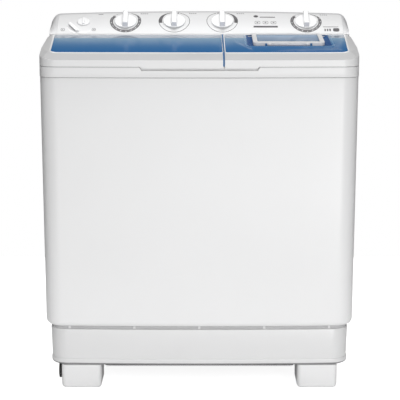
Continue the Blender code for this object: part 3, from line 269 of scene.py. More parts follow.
# deep blue for the walls and floor of the pocket in the spin window: painted shade in the recess
POCKET_PAINTED_SHADE = glazing("pocket_blue_painted_shade", (0.010, 0.060, 0.200), (0.022, 0.085, 0.230), yd(0.14), yd(0.32),
                      0.97, 0.30, 1.0,
                      1.25, 0.05)
# light blue for the thin band round the pocket's rim: painted highlight
POCKET_RIM_PAINTED_HIGHLIGHT = plastic("pocket_rim_painted_highlight", (0.150, 0.310, 0.500), 0.3)
FLAP_BLUE = glazing("flap_window", (0.105, 0.175, 0.270), (0.280, 0.380, 0.520), yd(0.19), yd(0.315),
                    0.97, 0.05, 1.6,
                    1.5, 0.05)
# brighter white for the thin border round the windows: painted highlight along the window rims
BEAD_PAINTED_HIGHLIGHT = plastic("bead_painted_highlight", (0.900, 0.900, 0.905), 0.25)
# dark grey for the rounded rims of the deck ring: painted shade in the seams
SEAM_PAINTED_SHADE = plastic("seam_painted_shade", (0.330, 0.330, 0.335), 0.5)
KNOB_WHITE = plastic("knob_white", (0.900, 0.900, 0.902), 0.22, coat=0.2)
EDGE_BLUE = plastic("edge_blue", (0.030, 0.130, 0.310), 0.45)


# ---------------------------------------------------------------- mesh making
def placed(name, data):
    """New object in the scene."""
    ob = bpy.data.objects.new(name, data)
    bpy.context.scene.collection.objects.link(ob)
    return ob


def to_piece(name, bm, mat, body, nodes=(), bevel=0.0, segs=2, sharp=32.0):
    """Smooth-shaded object from a bmesh, with sharp edges kept and optionally rounded."""
    bmesh.ops.recalc_face_normals(bm, faces=bm.faces)
    limit = math.radians(sharp)
    for f in bm.faces:
        f.smooth = True
    for e in bm.edges:
        if len(e.link_faces) == 2:
            e.smooth = e.calc_face_angle(0.0) < limit
    mesh = bpy.data.meshes.new(name)
    bm.to_mesh(mesh)
    bm.free()
    ob = placed(name, mesh)
    for m in mat if isinstance(mat, (list, tuple)) else [mat]:
        mesh.materials.append(m)
    if bevel:
        mod = ob.modifiers.new("edges", "BEVEL")
        mod.width = bevel
        mod.segments = segs
        mod.limit_method = "ANGLE"
        mod.angle_limit = limit
        mod.harden_normals = True
        mod.miter_outer = "MITER_ARC"
    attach(ob, body)
    if nodes:
        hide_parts(*nodes)
    return ob


def loose(bm):
    mesh = bpy.data.meshes.new("work")
    bmesh.ops.recalc_face_normals(bm, faces=bm.faces)
    bm.to_mesh(mesh)
    bm.free()
    return placed("work", mesh)


def carve(base, steps):
    """Apply a list of ("cut" or "add", bmesh) to a bmesh and return the result."""
    ob = loose(base)
    tools = []
    for kind, bm in steps:
        other = loose(bm)
        tools.append(other)
        mod = ob.modifiers.new(kind, "BOOLEAN")
        mod.operation = "DIFFERENCE" if kind == "cut" else "UNION"
        mod.solver = "EXACT"
        mod.object = other
    deps = bpy.context.evaluated_depsgraph_get()
    mesh = bpy.data.meshes.new_from_object(ob.evaluated_get(deps))
    out = bmesh.new()
    out.from_mesh(mesh)
    for gone in tools + [ob]:
        bpy.data.objects.remove(gone, do_unlink=True)
    bmesh.ops.remove_doubles(out, verts=out.verts, dist=0.00001)
    bmesh.ops.dissolve_limit(out, angle_limit=0.002, verts=out.verts, edges=out.edges)
    return out


def block(x0, x1, y0, y1, z0, z1):
    bm = bmesh.new()
    bmesh.ops.create_cube(bm, size=1.0)
    bmesh.ops.scale(bm, vec=(x1 - x0, y1 - y0, z1 - z0), verts=bm.verts)
    mid = Vector(((x0 + x1) / 2, (y0 + y1) / 2, (z0 + z1) / 2))
    bmesh.ops.translate(bm, vec=mid, verts=bm.verts)
    return bm


def rod(radius, length, axis="Z", seg=32, mid=(0, 0, 0)):
    bm = bmesh.new()
    bmesh.ops.create_cone(bm, cap_ends=True, segments=seg, radius1=radius, radius2=radius, depth=length)
    if axis == "X":
        bmesh.ops.rotate(bm, matrix=Matrix.Rotation(math.pi / 2, 3, "Y"), verts=bm.verts)
    if axis == "Y":
        bmesh.ops.rotate(bm, matrix=Matrix.Rotation(math.pi / 2, 3, "X"), verts=bm.verts)
    bmesh.ops.translate(bm, vec=Vector(mid), verts=bm.verts)
    return bm


def loft(rings, loop=False):
    bm = bmesh.new()
    rows = [[bm.verts.new(p) for p in ring] for ring in rings]
    pairs = list(zip(rows[:-1], rows[1:]))
    if loop:
        pairs.append((rows[-1], rows[0]))
    for low, high in pairs:
        for i in range(len(low)):
            j = (i + 1) % len(low)
            bm.faces.new((low[i], low[j], high[j], high[i]))
    if not loop:
        bm.faces.new(rows[0])
        bm.faces.new(rows[-1])
    return bm


def lathe(profile, seg=72, loop=False):
    """Turned solid about z from (radius, height) points; points on the axis close the ends."""
    bm = bmesh.new()
    columns = []
    poles = {}
    for i in range(seg):
        t = math.tau * i / seg
        col = []
        for k, (r, z) in enumerate(profile):
            if r == 0:
                if k not in poles:
                    poles[k] = bm.verts.new((0, 0, z))
                col.append(poles[k])
            else:
                col.append(bm.verts.new((r * math.cos(t), r * math.sin(t), z)))
        columns.append(col)
    steps = list(zip(range(len(profile) - 1), range(1, len(profile))))
    if loop:
        steps.append((len(profile) - 1, 0))
    for i in range(seg):
        a = columns[i]
        b = columns[(i + 1) % seg]
        for k, m in steps:
            quad = []
            for v in (a[k], b[k], b[m], a[m]):
                if v not in quad:
                    quad.append(v)
            if len(quad) > 2:
                bm.faces.new(quad)
    return bm


def across(x, half, points):
    """Closed outline in y and z, extruded along x."""
    return loft([[(x - half, y, z) for y, z in points], [(x + half, y, z) for y, z in points]])


def moved(bm, matrix):
    bmesh.ops.transform(bm, matrix=matrix, verts=bm.verts)
    return bm


def at(bm, x, depth, z=0.0):
    """Shift a shape made at the origin to its own place."""
    return moved(bm, Matrix.Translation((x, yd(depth), z)))


def joined(parts):
    """One bmesh holding several closed bodies."""
    out = bmesh.new()
    for bm in parts:
        mesh = bpy.data.meshes.new("part")
        bm.to_mesh(mesh)
        bm.free()
        out.from_mesh(mesh)
        bpy.data.meshes.remove(mesh)
    return out


def outline(half_w, d0, d1, z, rf, rr, bow=0.0, mid_x=0.0, seg=12, front=32):
    """Rounded rectangle ring with an optional bowed front."""
    pts = []
    flat = half_w - rf
    for i in range(front + 1):
        x = -flat + 2 * flat * i / front
        pts.append((x, yd(d0) + bow * (x / half_w) ** 2))
    y_edge = yd(d0) + bow * (flat / half_w) ** 2 + rf

    def arc(cx, cy, r, a0):
        for i in range(1, seg + 1):
            a = math.radians(a0 + 90 * i / seg)
            pts.append((cx + r * math.cos(a), cy + r * math.sin(a)))

    arc(flat, y_edge, rf, -90)
    pts.append((half_w, yd(d1) - rr))
    arc(half_w - rr, yd(d1) - rr, rr, 0)
    pts.append((-(half_w - rr), yd(d1)))
    arc(-(half_w - rr), yd(d1) - rr, rr, 90)
    pts.append((-half_w, y_edge))
    arc(-flat, y_edge, rf, 180)
    pts.pop()
    return [(x + mid_x, y, z) for x, y in pts]


def wall_ring(half_w, front_d, rear_d, z, inset=0.0, rf=R_FRONT, rr=R_REAR):
    return outline(half_w - inset, front_d + inset, rear_d - inset, z,
                   max(rf - inset, 0.004), max(rr - inset, 0.004), BOW)


def slope(s):
    return FACE_A0 - s / FACE_R


def face_point(s):
    """Depth, height and slope of the control face at a distance s up it."""
    a = slope(s)
    depth = FOOT_D + FACE_R * (math.sin(FACE_A0) - math.sin(a))
    return depth, FOOT_Z + FACE_R * (math.cos(a) - math.cos(FACE_A0)), a


def face_z(x, s):
    return face_point(s)[1] - 0.0065 * (x / 0.42) ** 2 * (max(s, 0.0) / FACE_LEN) ** 1.5


def on_face(x, s, lift=0.0):
    d, z, a = face_point(s)
    z = face_z(x, s)
    return Vector((x, yd(d) - math.sin(a) * lift, z + math.cos(a) * lift)), a


def face_matrix(x, s, lift=0.0):
    at, a = on_face(x, s, lift)
    return Matrix.Translation(at) @ Matrix.Rotation(a, 4, "X")


# ---------------------------------------------------------------- base
def base_frame():
    top_hw, low_hw, d_top, d_low = 0.4463, 0.4438, 0.0185, 0.0215

    def hole(z):
        return outline(0.2175, 0.070, 0.485, z, 0.012, 0.012, 0, -0.0525)

    rolled_lip = ((-0.0022, 0.5370, 0.0), (-0.0004, 0.5385, 0.0012), (0.0010, 0.5398, 0.0032),
                  (0.0018, 0.5405, 0.0060), (0.0018, 0.5405, 0.0158), (0.0012, 0.5400, 0.0172),
                  (0.0, 0.539, 0.0190), (0.0, 0.539, 0.0205))
    rings = [wall_ring(low_hw + out, d_low - out, rear, LIP_Z + up) for out, rear, up in rolled_lip]
    rings += [
        wall_ring(top_hw, d_top, 0.541, BASE_TOP - 0.0035),
        wall_ring(top_hw, d_top, 0.541, BASE_TOP - 0.0012, 0.0008),
        wall_ring(top_hw, d_top, 0.541, BASE_TOP, 0.0028),
        wall_ring(top_hw, d_top, 0.541, BASE_TOP, 0.026),
        wall_ring(top_hw, d_top, 0.541, BASE_TOP - 0.003, 0.026),
        wall_ring(top_hw, d_top, 0.541, BASE_TOP - 0.003, 0.004),
        wall_ring(low_hw, d_low, 0.539, 0.109, 0.004),
        hole(0.109),
        hole(0.105),
        wall_ring(low_hw, d_low, 0.539, 0.105, 0.004),
        wall_ring(low_hw, d_low, 0.539, LIP_Z, 0.004),
    ]
    way = rod(0.0168, 0.03, "Y", 40, (0.045, yd(0.54), 0.134))
    bm = carve(loft(rings, loop=True), [("cut", way)])
    # faces low on the rolled lip take the dark grey: painted shade where the lip curves under the base
    for f in bm.faces:
        f.material_index = 1 if f.calc_center_median().z < LIP_Z + 0.0058 else 0
    to_piece("base", bm, [BASEW, LIP_PAINTED_SHADE], "machine", ["base_frame"])


def groove_clips():
    """Five small locating tabs in the groove between base and cabinet."""
    parts = []
    for x in (-0.387, -0.1935, 0.0, 0.1935, 0.387):
        y = yd(0.0265) + BOW * (x / 0.45) ** 2
        if abs(x) > 0.3:
            y += 0.0005
        tab = ((-1, 0), (1, 0), (1, 0.7), (0.6, 1), (-0.6, 1), (-1, 0.7))
        parts.append(loft([[(x + a * 0.0036, y + out, 0.1842 + b * 0.0090) for a, b in tab]
                           for out in (-0.0035, 0.004)]))
    to_piece("groove_clips", joined(parts), FASCIA, "machine", (), 0.0006)


def base_tray():
    def ring(z, inset):
        return outline(0.2860 - inset, 0.0560 + inset, 0.5050 - inset, z, 0.012, 0.012, 0, 0, 6, 4)

    rings = [ring(0.0620, 0.0012), ring(0.0632, 0.0), ring(0.1047, 0.0), ring(0.1047, 0.003),
             ring(0.0662, 0.003), ring(0.0650, 0.0042)]
    bm = loft(rings)
    slots = [block(-0.24, 0.24, yd(d), yd(d + 0.010), 0.0643, 0.0660) for d in (0.10, 0.18, 0.26, 0.34,
                                                                                0.42)]
    # the tray is near-black: partly its dark plastic, partly painted shade in the recess under the base
    to_piece("tray", carve(bm, [("cut", joined(slots))]), DARK_PLASTIC_AND_SHADE, "machine", ["base_tray"])


def foot(name, side, toe, d0, d1, axle):
    mid_x = side * 0.353

    def ring(z, inset, front=toe):
        return outline(0.060 - inset, front + inset, d1 - inset, z, 0.014 - inset, 0.014 - inset, 0,
                       mid_x, 8, 4)

    rings = [ring(0.0, 0.0095), ring(0.0008, 0.0068), ring(0.004, 0.003), ring(0.008, 0.0011),
             ring(0.0125, 0.0),
             ring(LIP_Z - 0.0045, 0.0), ring(LIP_Z - 0.0020, 0.0006), ring(LIP_Z - 0.0010, 0.0020),
             ring(LIP_Z - 0.0005, 0.0, d0), ring(0.1047, 0.0, d0)]
    bm = loft(rings)
    if axle:
        bm = carve(bm, [("cut", rod(0.0045, 0.036, "X", 24, (-0.413, yd(axle), AXLE_Z)))])
    to_piece(name + "_piece", bm, FOOTW, "machine", [name])


def wheel(name, depth, body):
    profile = [
        (0, 0.0), (0.0060, 0.0), (0.0072, -0.0006), (0.0085, -0.0006), (0.0092, -0.0012), (0.0165, -0.0012),
        (0.0185, -0.0004), (0.0195, 0.0), (0.0222, 0.0), (0.0236, -0.0006), (0.0245, -0.0022),
        (0.0245, -0.0050),
        (0.0238, -0.0056), (0.0238, -0.0068), (0.0245, -0.0074), (0.0245, -0.0113), (0.0236, -0.0129),
        (0.0222, -0.0135), (0.0042, -0.0135), (0.0042, -0.0297), (0.0038, -0.0300), (0, -0.0300),
    ]
    bm = lathe(profile, 64)
    moved(bm, Matrix.Translation((-0.4280, yd(depth), AXLE_Z)) @ Matrix.Rotation(-math.pi / 2, 4, "Y"))
    to_piece(name + "_tyre", bm, RUBBER, body, [name])


# ---------------------------------------------------------------- cabinet
def cabinet():
    def low(*pairs):
        return [wall_ring(0.4590, 0.006, 0.5445, z, inset) for z, inset in pairs]

    def high(*pairs):
        return [wall_ring(0.4640, 0.001, 0.5450, z, inset) for z, inset in pairs]

    rings = low((BASE_TOP + GAP, 0.020), (0.1915, 0.020), (0.1927, 0.0192), (0.1934, 0.0170),
                (0.1938, 0.0130),
                (0.1950, 0.0095), (0.1972, 0.0062), (0.2004, 0.0034), (0.2042, 0.0014), (0.2080, 0.0004),
                (0.2125, 0.0))
    rings.append(wall_ring(0.4628, 0.0022, 0.5449, 0.7540, 0.0))
    rings += high((CAB_TOP - 0.0016, 0.0), (CAB_TOP - 0.0004, 0.0005), (CAB_TOP, 0.0015), (CAB_TOP, WALL))
    rings += low((0.2125, WALL), (0.2040, WALL + 0.0035), (0.1990, WALL + 0.0080), (0.1962, 0.0235),
                 (BASE_TOP + GAP, 0.0235))
    hole = block(-0.33, 0.33, yd(0.53), yd(0.56), 0.25, 0.72)
    bm = carve(loft(rings, loop=True), [("cut", hole)])
    # faces of the lower roll, below the groove's edge, take the grey: painted shade in the groove between
    # cabinet and base
    for f in bm.faces:
        f.material_index = 1 if f.calc_center_median().z < 0.1937 else 0
    to_piece("cabinet_wall", bm, [WHITE, GROOVE_PAINTED_SHADE], "machine", ["cabinet"])


def rear_panel():
    """Service cover with louvres, a pressed field and screws."""
    y0, y1 = yd(0.5455), yd(0.5485)
    steps = []
    for i in range(5):
        x = -0.20 + 0.10 * i
        for k in range(3):
            z = 0.292 + 0.0125 * k
            steps.append(block(x - 0.030, x + 0.030, y0 - 0.002, y1 + 0.002, z, z + 0.006))
    field = block(-0.318, 0.318, yd(0.5479), yd(0.5500), 0.380, 0.705)
    bm = carve(block(-0.35, 0.35, y0, y1, 0.23, 0.74), [("cut", joined(steps)), ("cut", field)])
    to_piece("rear_cover", bm, PALE, "machine", ["rear_panel"], 0.0006)
    parts = []
    for x in (-0.335, 0.0, 0.335):
        for z in (0.243, 0.727):
            head = lathe([(0, 0.0012), (0.0030, 0.0010), (0.0038, 0.0004), (0.0038, -0.0006),
                          (0, -0.0006)], 20)
            slots = [block(-a, a, -b, b, 0.0006, 0.002) for a, b in ((0.0028, 0.0004), (0.0004, 0.0028))]
            head = carve(head, [("cut", slot) for slot in slots])
            moved(head, Matrix.Translation((x, yd(0.5486), z)) @ Matrix.Rotation(-math.pi / 2, 4, "X"))
            parts.append(head)
    to_piece("rear_screws", joined(parts), STEEL, "machine", ())


# ---------------------------------------------------------------- top frame
def hinge_post(x):
    y = yd(HINGE_D)
    low = DECK_TOP - 0.002
    shape = [(-0.0100, low), (-0.0045, low), (-0.0042, HINGE_Z - 0.020), (0.0041, HINGE_Z - 0.0032),
             (0.0044, HINGE_Z + 0.0008), (0.0022, HINGE_Z + 0.0042), (-0.0022, HINGE_Z + 0.0042),
             (-0.0046, HINGE_Z + 0.0008), (-0.0095, HINGE_Z - 0.018)]
    return across(x, 0.004, [(y + a, z) for a, z in shape])


def top_frame():
    low = CAB_TOP + GAP
    levels = ((0.962, WALL), (low, WALL), (low, 0.0012), (low + 0.0004, 0.0004), (low + 0.0013, 0.0),
              (DECK_TOP - 0.0013, 0.0), (DECK_TOP - 0.0004, 0.0004), (DECK_TOP, 0.0012))
    rings = [wall_ring(HALF_W, 0.0, 0.549, z, inset) for z, inset in levels]
    steps = [("add", block(-0.182, 0.184, yd(0.0022), yd(0.0172), 0.945, 0.9645))]
    for x in LID_POSTS:
        steps.append(("add", hinge_post(x)))
    mouth = [(-0.1725, DECK_TOP + 0.01), (-0.1725, 0.9652), (-0.1660, 0.9548),
             (0.1680, 0.9548), (0.1745, 0.9652), (0.1745, DECK_TOP + 0.01)]
    front = [(x, yd(-0.002), z) for x, z in mouth]
    back = [(x, yd(0.0135), max(z, 0.9552)) for x, z in mouth]
    steps.append(("cut", loft([front, back])))
    way = [outline(0.222, 0.045, 0.294, z, 0.03, 0.03, 0, WASH_X, 10, 4) for z in (0.95, 0.98)]
    steps.append(("cut", loft(way)))
    steps.append(("cut", rod(0.130, 0.04, "Z", 96, (SPIN_X, yd(SPIN_D), 0.965))))
    for x in LID_POSTS:
        steps.append(("cut", rod(0.0028, 0.03, "X", 20, (x, yd(HINGE_D), HINGE_Z))))
    bm = carve(loft(rings), steps)
    # rounded upper and lower rims of the deck ring take the dark grey: painted shade in the seams against
    # the lids and the cabinet
    for f in bm.faces:
        c = f.calc_center_median()
        edge = c.z > DECK_TOP - 0.0011 or c.z < low + 0.0011
        f.normal_update()
        f.material_index = 1 if edge and abs(f.normal.z) < 0.97 and f.normal.z * (c.z - 0.95) > 0.0005 else 0
    to_piece("top_ring", bm, [WHITE, SEAM_PAINTED_SHADE], "machine", ["top_frame"])


# ---------------------------------------------------------------- control housing
def side_profile(x, inset=0.0):
    pts = [
        (0.345 + inset, DECK_TOP + GAP),
        (0.345 + inset, FOOT_Z - 0.0144),
        (FOOT_D + 0.0012 + inset, FOOT_Z - 0.0049),
    ]
    n = 18
    for i in range(n + 1):
        s = FACE_LEN * i / n
        d, z, a = face_point(s)
        pts.append((d + math.sin(a) * inset, face_z(x, s) - math.cos(a) * inset))
    top = face_z(x, FACE_LEN) - inset
    crest = ((0.4480, 0.0022), (0.4620, 0.0023), (0.4750, 0.0010), (0.4980, -0.0040), (0.5200, -0.0120))
    back = ((0.5320, -0.0170), (0.5400, -0.0240), (0.5460, -0.0320), (0.5490, -0.0420))
    pts += [(d, top + up) for d, up in crest]
    pts += [(d - inset, top + up) for d, up in back]
    pts.append((0.5490 - inset, DECK_TOP + GAP))
    return [(x, yd(d), z) for d, z in pts]


def shoulder(t):
    """Drop of the housing at a distance t inside its side, a round shoulder."""
    if t >= 0.030:
        return 0.0
    return 0.020 * (1 - t / 0.030) ** 3.2


def housing_shape(inset):
    edge = HALF_W - 0.0015 - inset
    half = [edge - t for t in (0.0, 0.0008, 0.002, 0.004, 0.007, 0.011, 0.016, 0.022, 0.030, 0.045)]
    half += [0.36, 0.30, 0.24, 0.18, 0.12, 0.06]
    full = [-x for x in half] + [0.0] + half[::-1]
    rings = []
    for x in full:
        q = shoulder(edge - abs(x))
        rings.append([(a, b, c - q * blend(c)) for a, b, c in side_profile(x, inset)])
    bm = loft(rings)
    bmesh.ops.triangulate(bm, faces=[f for f in bm.faces if len(f.verts) == 4])
    return bm


def blend(z):
    t = (z - FOOT_Z - 0.0016) / 0.050
    t = max(0.0, min(1.0, t))
    return t * t * (3 - 2 * t)


def face_band(x0, x1, outer, inner, s0, s1, ns=18, corner=0.0):
    """Slab following the control face; corner rounds the two upper corners."""
    xs = [x0 + (x1 - x0) * i / 40 for i in range(41)]
    if corner:
        xs = [x0 + corner * (1 - math.cos(math.pi / 2 * i / 8)) for i in range(8)]
        xs += [x0 + corner + (x1 - x0 - 2 * corner) * i / 36 for i in range(37)]
        xs += [x1 - corner * (1 - math.cos(math.pi / 2 * i / 8)) for i in reversed(range(8))]
    rings = []
    for x in xs:
        near = min(x - x0, x1 - x)
        top_s = s1
        if corner and near < corner:
            top_s = s1 - corner + math.sqrt(max(0.0, corner ** 2 - (corner - near) ** 2))
        top = []
        low = []
        for i in range(ns + 1):
            s = s0 + (top_s - s0) * i / ns
            top.append(tuple(on_face(x, s, outer)[0]))
            low.append(tuple(on_face(x, s, inner)[0]))
        rings.append(top + low[::-1])
    bm = loft(rings)
    bmesh.ops.triangulate(bm, faces=[f for f in bm.faces if len(f.verts) == 4])
    return bm


def lid_side_z(x, depth):
    z, rise, lean = SIDE_REAR
    return z + rise * depth + lean * (HALF_W - abs(x))


def ear(side):
    inner = side * 0.4598
    outer = side * (HALF_W - 0.0021)
    low = [(inner, yd(0.3165)), (outer, yd(0.3165)), (outer, yd(0.3475)), (inner, yd(0.3475))]
    bottom = [(x, y, DECK_TOP + 0.0007) for x, y in low]
    upper = [(x, y, lid_side_z(x, y - FRONT)) for x, y in low]
    return loft([bottom, upper])


def control_housing():
    hollow = housing_shape(0.0035)
    for v in hollow.verts:
        if v.co.z < DECK_TOP + 0.001:
            v.co.z = DECK_TOP - 0.01
    way = face_band(-0.4403, 0.4453, 0.02, -0.012, 0.0035, FACE_LEN - 0.0015, corner=0.016)
    steps = [("cut", hollow), ("cut", way), ("add", ear(-1)), ("add", ear(1)),
             ("add", rod(0.0130, 0.0040, "Y", 48, (0.36, yd(0.5479), 0.995))),
             ("cut", rod(0.0060, 0.03, "Y", 32, (0.36, yd(0.545), 0.995)))]
    bm = carve(housing_shape(0.0), steps)
    to_piece("housing", bm, PALE, "machine", ["control_housing"], sharp=28)


def control_fascia():
    holes = [(x, DIAL_S, 0.0042, 24) for x in DIAL_X]
    holes += [(CAP_X, CAP_S, 0.0112, 32), (LEVER_X, LEVER_S, 0.0037, 24)]
    steps = [("cut", moved(rod(r, 0.03, "Z", seg), face_matrix(x, s))) for x, s, r, seg in holes]
    bm = carve(face_band(-0.440, 0.445, 0.0, -0.003, 0.0038, FACE_LEN - 0.0018, corner=0.0157), steps)
    to_piece("fascia", bm, FASCIA, "machine", ["control_fascia"])


# ---------------------------------------------------------------- printing on the fascia
def print_strip(points_in, points_out, closed=False, lift=0.00035):
    """Thin closed print layer between two lists of (x, s) points."""
    rings = []
    for near, far in zip(points_in, points_out):
        corners = ((near, -0.0002), (near, lift), (far, lift), (far, -0.0002))
        rings.append([on_face(x, s, up)[0] for (x, s), up in corners])
    return loft(rings, loop=closed)


def ring_band(cx, t0, t1, width, steps=72, rx=0.0487, rs=0.0535, ds=0.0):
    """Arc band round a dial from angle t0 to t1 (degrees); width(u) gives its breadth."""
    inner = []
    outer = []
    for i in range(steps + 1):
        u = i / steps
        t = math.radians(t0 + (t1 - t0) * u)
        w = width(u)
        outer.append((cx + rx * math.cos(t), DIAL_S + 0.0015 + ds + rs * math.sin(t)))
        inner.append((cx + (rx - w) * math.cos(t), DIAL_S + 0.0015 + ds + (rs - w) * math.sin(t)))
    return print_strip(inner, outer)


def patch(cx, cs, half_x, half_s, steps=4):
    """Small rectangle of print."""
    xs = [cx - half_x + 2 * half_x * i / steps for i in range(steps + 1)]
    return print_strip([(x, cs - half_s) for x in xs], [(x, cs + half_s) for x in xs])


def dot(cx, cs, r):
    low = []
    high = []
    for i in range(21):
        t = math.pi * i / 20
        x = cx - r * 0.999 * math.cos(t)
        h = max(r * math.sin(t), r * 0.04)
        low.append((x, cs - h))
        high.append((x, cs + h))
    return print_strip(low, high)


def frame_print(cx, cs, half_x, half_s, line):
    """Rounded outline of print."""
    inner = []
    outer = []
    for i in range(48):
        t = math.tau * i / 48
        c, q = math.cos(t), math.sin(t)
        k = (abs(c) ** 4 + abs(q) ** 4) ** -0.25
        outer.append((cx + half_x * c * k, cs + half_s * q * k))
        inner.append((cx + (half_x - line) * c * k, cs + (half_s - line) * q * k))
    return print_strip(inner, outer, closed=True)


def panel_print():
    mid = []
    light = []
    dark = []
    ticks = []
    for cx in (DIAL_X[0], DIAL_X[3]):
        def width(u):
            return 0.0016 + 0.0082 * min(1.0, u / 0.22) ** 1.5

        mid.append(ring_band(cx, 70, -208, width))
        light.append(ring_band(cx, 8, -205, lambda u: 0.0026, rx=0.0452, rs=0.0500, steps=60))
        mid.append(ring_band(cx, 148, 92, lambda u: 0.0009 * (1 - 0.5 * u), steps=24))
        a = math.radians(146)
        dark.append(patch(cx + 0.0435 * math.cos(a), DIAL_S + 0.0015 + 0.0480 * math.sin(a), 0.0042, 0.0046))
        for off in (-0.0038, 0.0038):
            dark.append(dot(cx + off, DIAL_S - 0.0470, 0.0022))
        for k in range(11):
            a = math.radians(40 - 21 * k)
            ticks.append(dot(cx + 0.0446 * math.cos(a), DIAL_S + 0.0015 + 0.0494 * math.sin(a), 0.0014))
    for cx, side in ((DIAL_X[1], 1), (DIAL_X[2], -1)):
        def crescent(u):
            return 0.0012 + 0.0100 * math.sin(math.pi * min(1.0, u * 0.93) * 0.62) ** 1.6

        mid.append(ring_band(cx, 90 - side * 22, 90 - side * 282, lambda u: 0.0015))
        t0, t1 = (98, 192) if side > 0 else (82, -12)
        mid.append(ring_band(cx, t0, t1, crescent))
        dark.append(ring_band(cx, t0 + side * 74, t0 + side * 94, lambda u: 0.0075 + 0.002 * u,
                              rx=0.0476, rs=0.0523, steps=20))
        a = math.radians(90 - side * 15)
        dark.append(dot(cx + 0.0478 * math.cos(a), DIAL_S + 0.0015 + 0.0520 * math.sin(a), 0.0028))
    for cx in DIAL_X:
        start = cx + 0.048
        for k in range(4):
            light.append(patch(start + 0.0062 * k, 0.1085, 0.0022, 0.0022, 2))
    light.append(patch(-0.309, 0.1085, 0.0075, 0.0020, 2))
    for k in range(3):
        x = 0.181 + 0.025 * k
        light.append(frame_print(x, 0.0535, 0.0085, 0.0075, 0.0013))
        light.append(dot(x, 0.0535, 0.0030))
    dark.append(patch(0.206, 0.0330, 0.0375, 0.0038, 12))
    dark.append(dot(0.177, 0.0900, 0.0072))
    mid.append(patch(0.213, 0.0850, 0.0240, 0.0022, 8))
    for x in (-0.423, -0.327):
        light.append(frame_print(x, 0.0200, 0.0060, 0.0060, 0.0016))
        light.append(dot(x, 0.0200, 0.0020))
    dark.append(frame_print(0.424, 0.0190, 0.0095, 0.0075, 0.0040))
    dark.append(patch(0.424, 0.0190, 0.0060, 0.0040))
    light.append(patch(0.4075, 0.0330, 0.0235, 0.0014, 6))
    for k in range(3):
        mid.append(patch(0.390 + 0.0075 * k, 0.0185, 0.0024, 0.0052, 2))
    sweep = [(-0.4120, 0.0330), (-0.4040, 0.0190), (-0.3960, 0.0110), (-0.3880, 0.0080), (-0.3500, 0.0080),
             (-0.3410, 0.0120), (-0.3370, 0.0200)]
    guide = print_strip([(x, z - 0.0014) for x, z in sweep], [(x, z + 0.0014) for x, z in sweep],
                        lift=0.0008)
    to_piece("lever_guide", guide, KNOB_WHITE, "machine", ())
    for bm in ticks:
        bmesh.ops.translate(bm, verts=bm.verts, vec=(0, -0.0003, 0.0003))
    to_piece("dial_ticks", joined(ticks), KNOB_WHITE, "machine", ())
    to_piece("print_grey", joined(mid), PRINT, "machine", ())
    to_piece("print_light", joined(light), PRINT_MID, "machine", ())
    to_piece("print_dark", joined(dark), PRINT_DARK, "machine", ())


# ---------------------------------------------------------------- knobs, cap and lever
def rounded_bar(half_x, y0, y1, z0, z1, taper_x, taper_y, r=0.0022, n=4):
    """Bar with softly rounded plan and top, narrower towards the top."""
    rings = []
    levels = [(z0, 0.0), (z0 + (z1 - z0) * 0.72, 0.0)]
    for i in range(1, n + 1):
        t = math.pi / 2 * i / n
        levels.append((z1 - r * 1.5 + r * 1.5 * math.sin(t), r * (1 - math.cos(t))))
    mid_y = (y0 + y1) / 2
    half_y = (y1 - y0) / 2
    for z, pull in levels:
        k = (z - z0) / (z1 - z0)
        hx = half_x * (1 - (1 - taper_x) * k) - pull
        hy = half_y * (1 - (1 - taper_y) * k) - pull
        ring = []
        for cx, cy, a0 in ((1, -1, -90), (1, 1, 0), (-1, 1, 90), (-1, -1, 180)):
            rr = 0.0020
            for i in range(5):
                a = math.radians(a0 + 90 * i / 4)
                ring.append((cx * (hx - rr) + rr * math.cos(a), mid_y + cy * (hy - rr) + rr * math.sin(a),
                             z))
        rings.append(ring)
    return loft(rings)


def knob(name, index, body):
    place = face_matrix(DIAL_X[index], DIAL_S, 0.0006)
    profile = [(0, 0.0046), (0.0180, 0.0048), (0.0300, 0.0046), (0.0330, 0.0040), (0.0345, 0.0030),
               (0.0350, 0.0018),
               (0.0350, 0.0004), (0.0346, 0.0), (0.0036, 0.0), (0.0036, -0.014), (0, -0.014)]
    disc = lathe(profile, 96)
    grip = rounded_bar(0.0088, -0.0325, 0.0325, 0.003, 0.0195, 0.90, 0.975)
    notch = block(-0.0007, 0.0007, 0.0180, 0.0290, 0.0190, 0.0210)
    bm = carve(disc, [("add", grip), ("cut", notch)])
    # the grip's lower end face takes the bluish grey: painted shade on that face
    for f in bm.faces:
        f.normal_update()
        c = f.calc_center_median()
        if f.normal.y < -0.80 and c.y < -0.028 and c.z > 0.0048:
            f.material_index = 1
    moved(bm, place)
    to_piece(name + "_piece", bm, [KNOB_WHITE, KNOB_END_PAINTED_SHADE], body, [name], sharp=38)


def inlet_cap():
    profile = [(0, 0.0028), (0.0120, 0.0030), (0.0180, 0.0030), (0.0192, 0.0025), (0.0200, 0.0014),
               (0.0200, 0.0003),
               (0.0197, 0.0), (0.0108, 0.0), (0.0108, -0.014), (0.0088, -0.014), (0.0088, 0.0015),
               (0, 0.0015)]
    bar = rounded_bar(0.0045, -0.0165, 0.0165, 0.0022, 0.0065, 0.90, 0.97, 0.0012)
    bm = carve(lathe(profile, 64), [("add", bar)])
    moved(bm, face_matrix(CAP_X, CAP_S, 0.0006))
    to_piece("inlet_cap_piece", bm, WHITE, "machine", ["water_inlet_cap"])


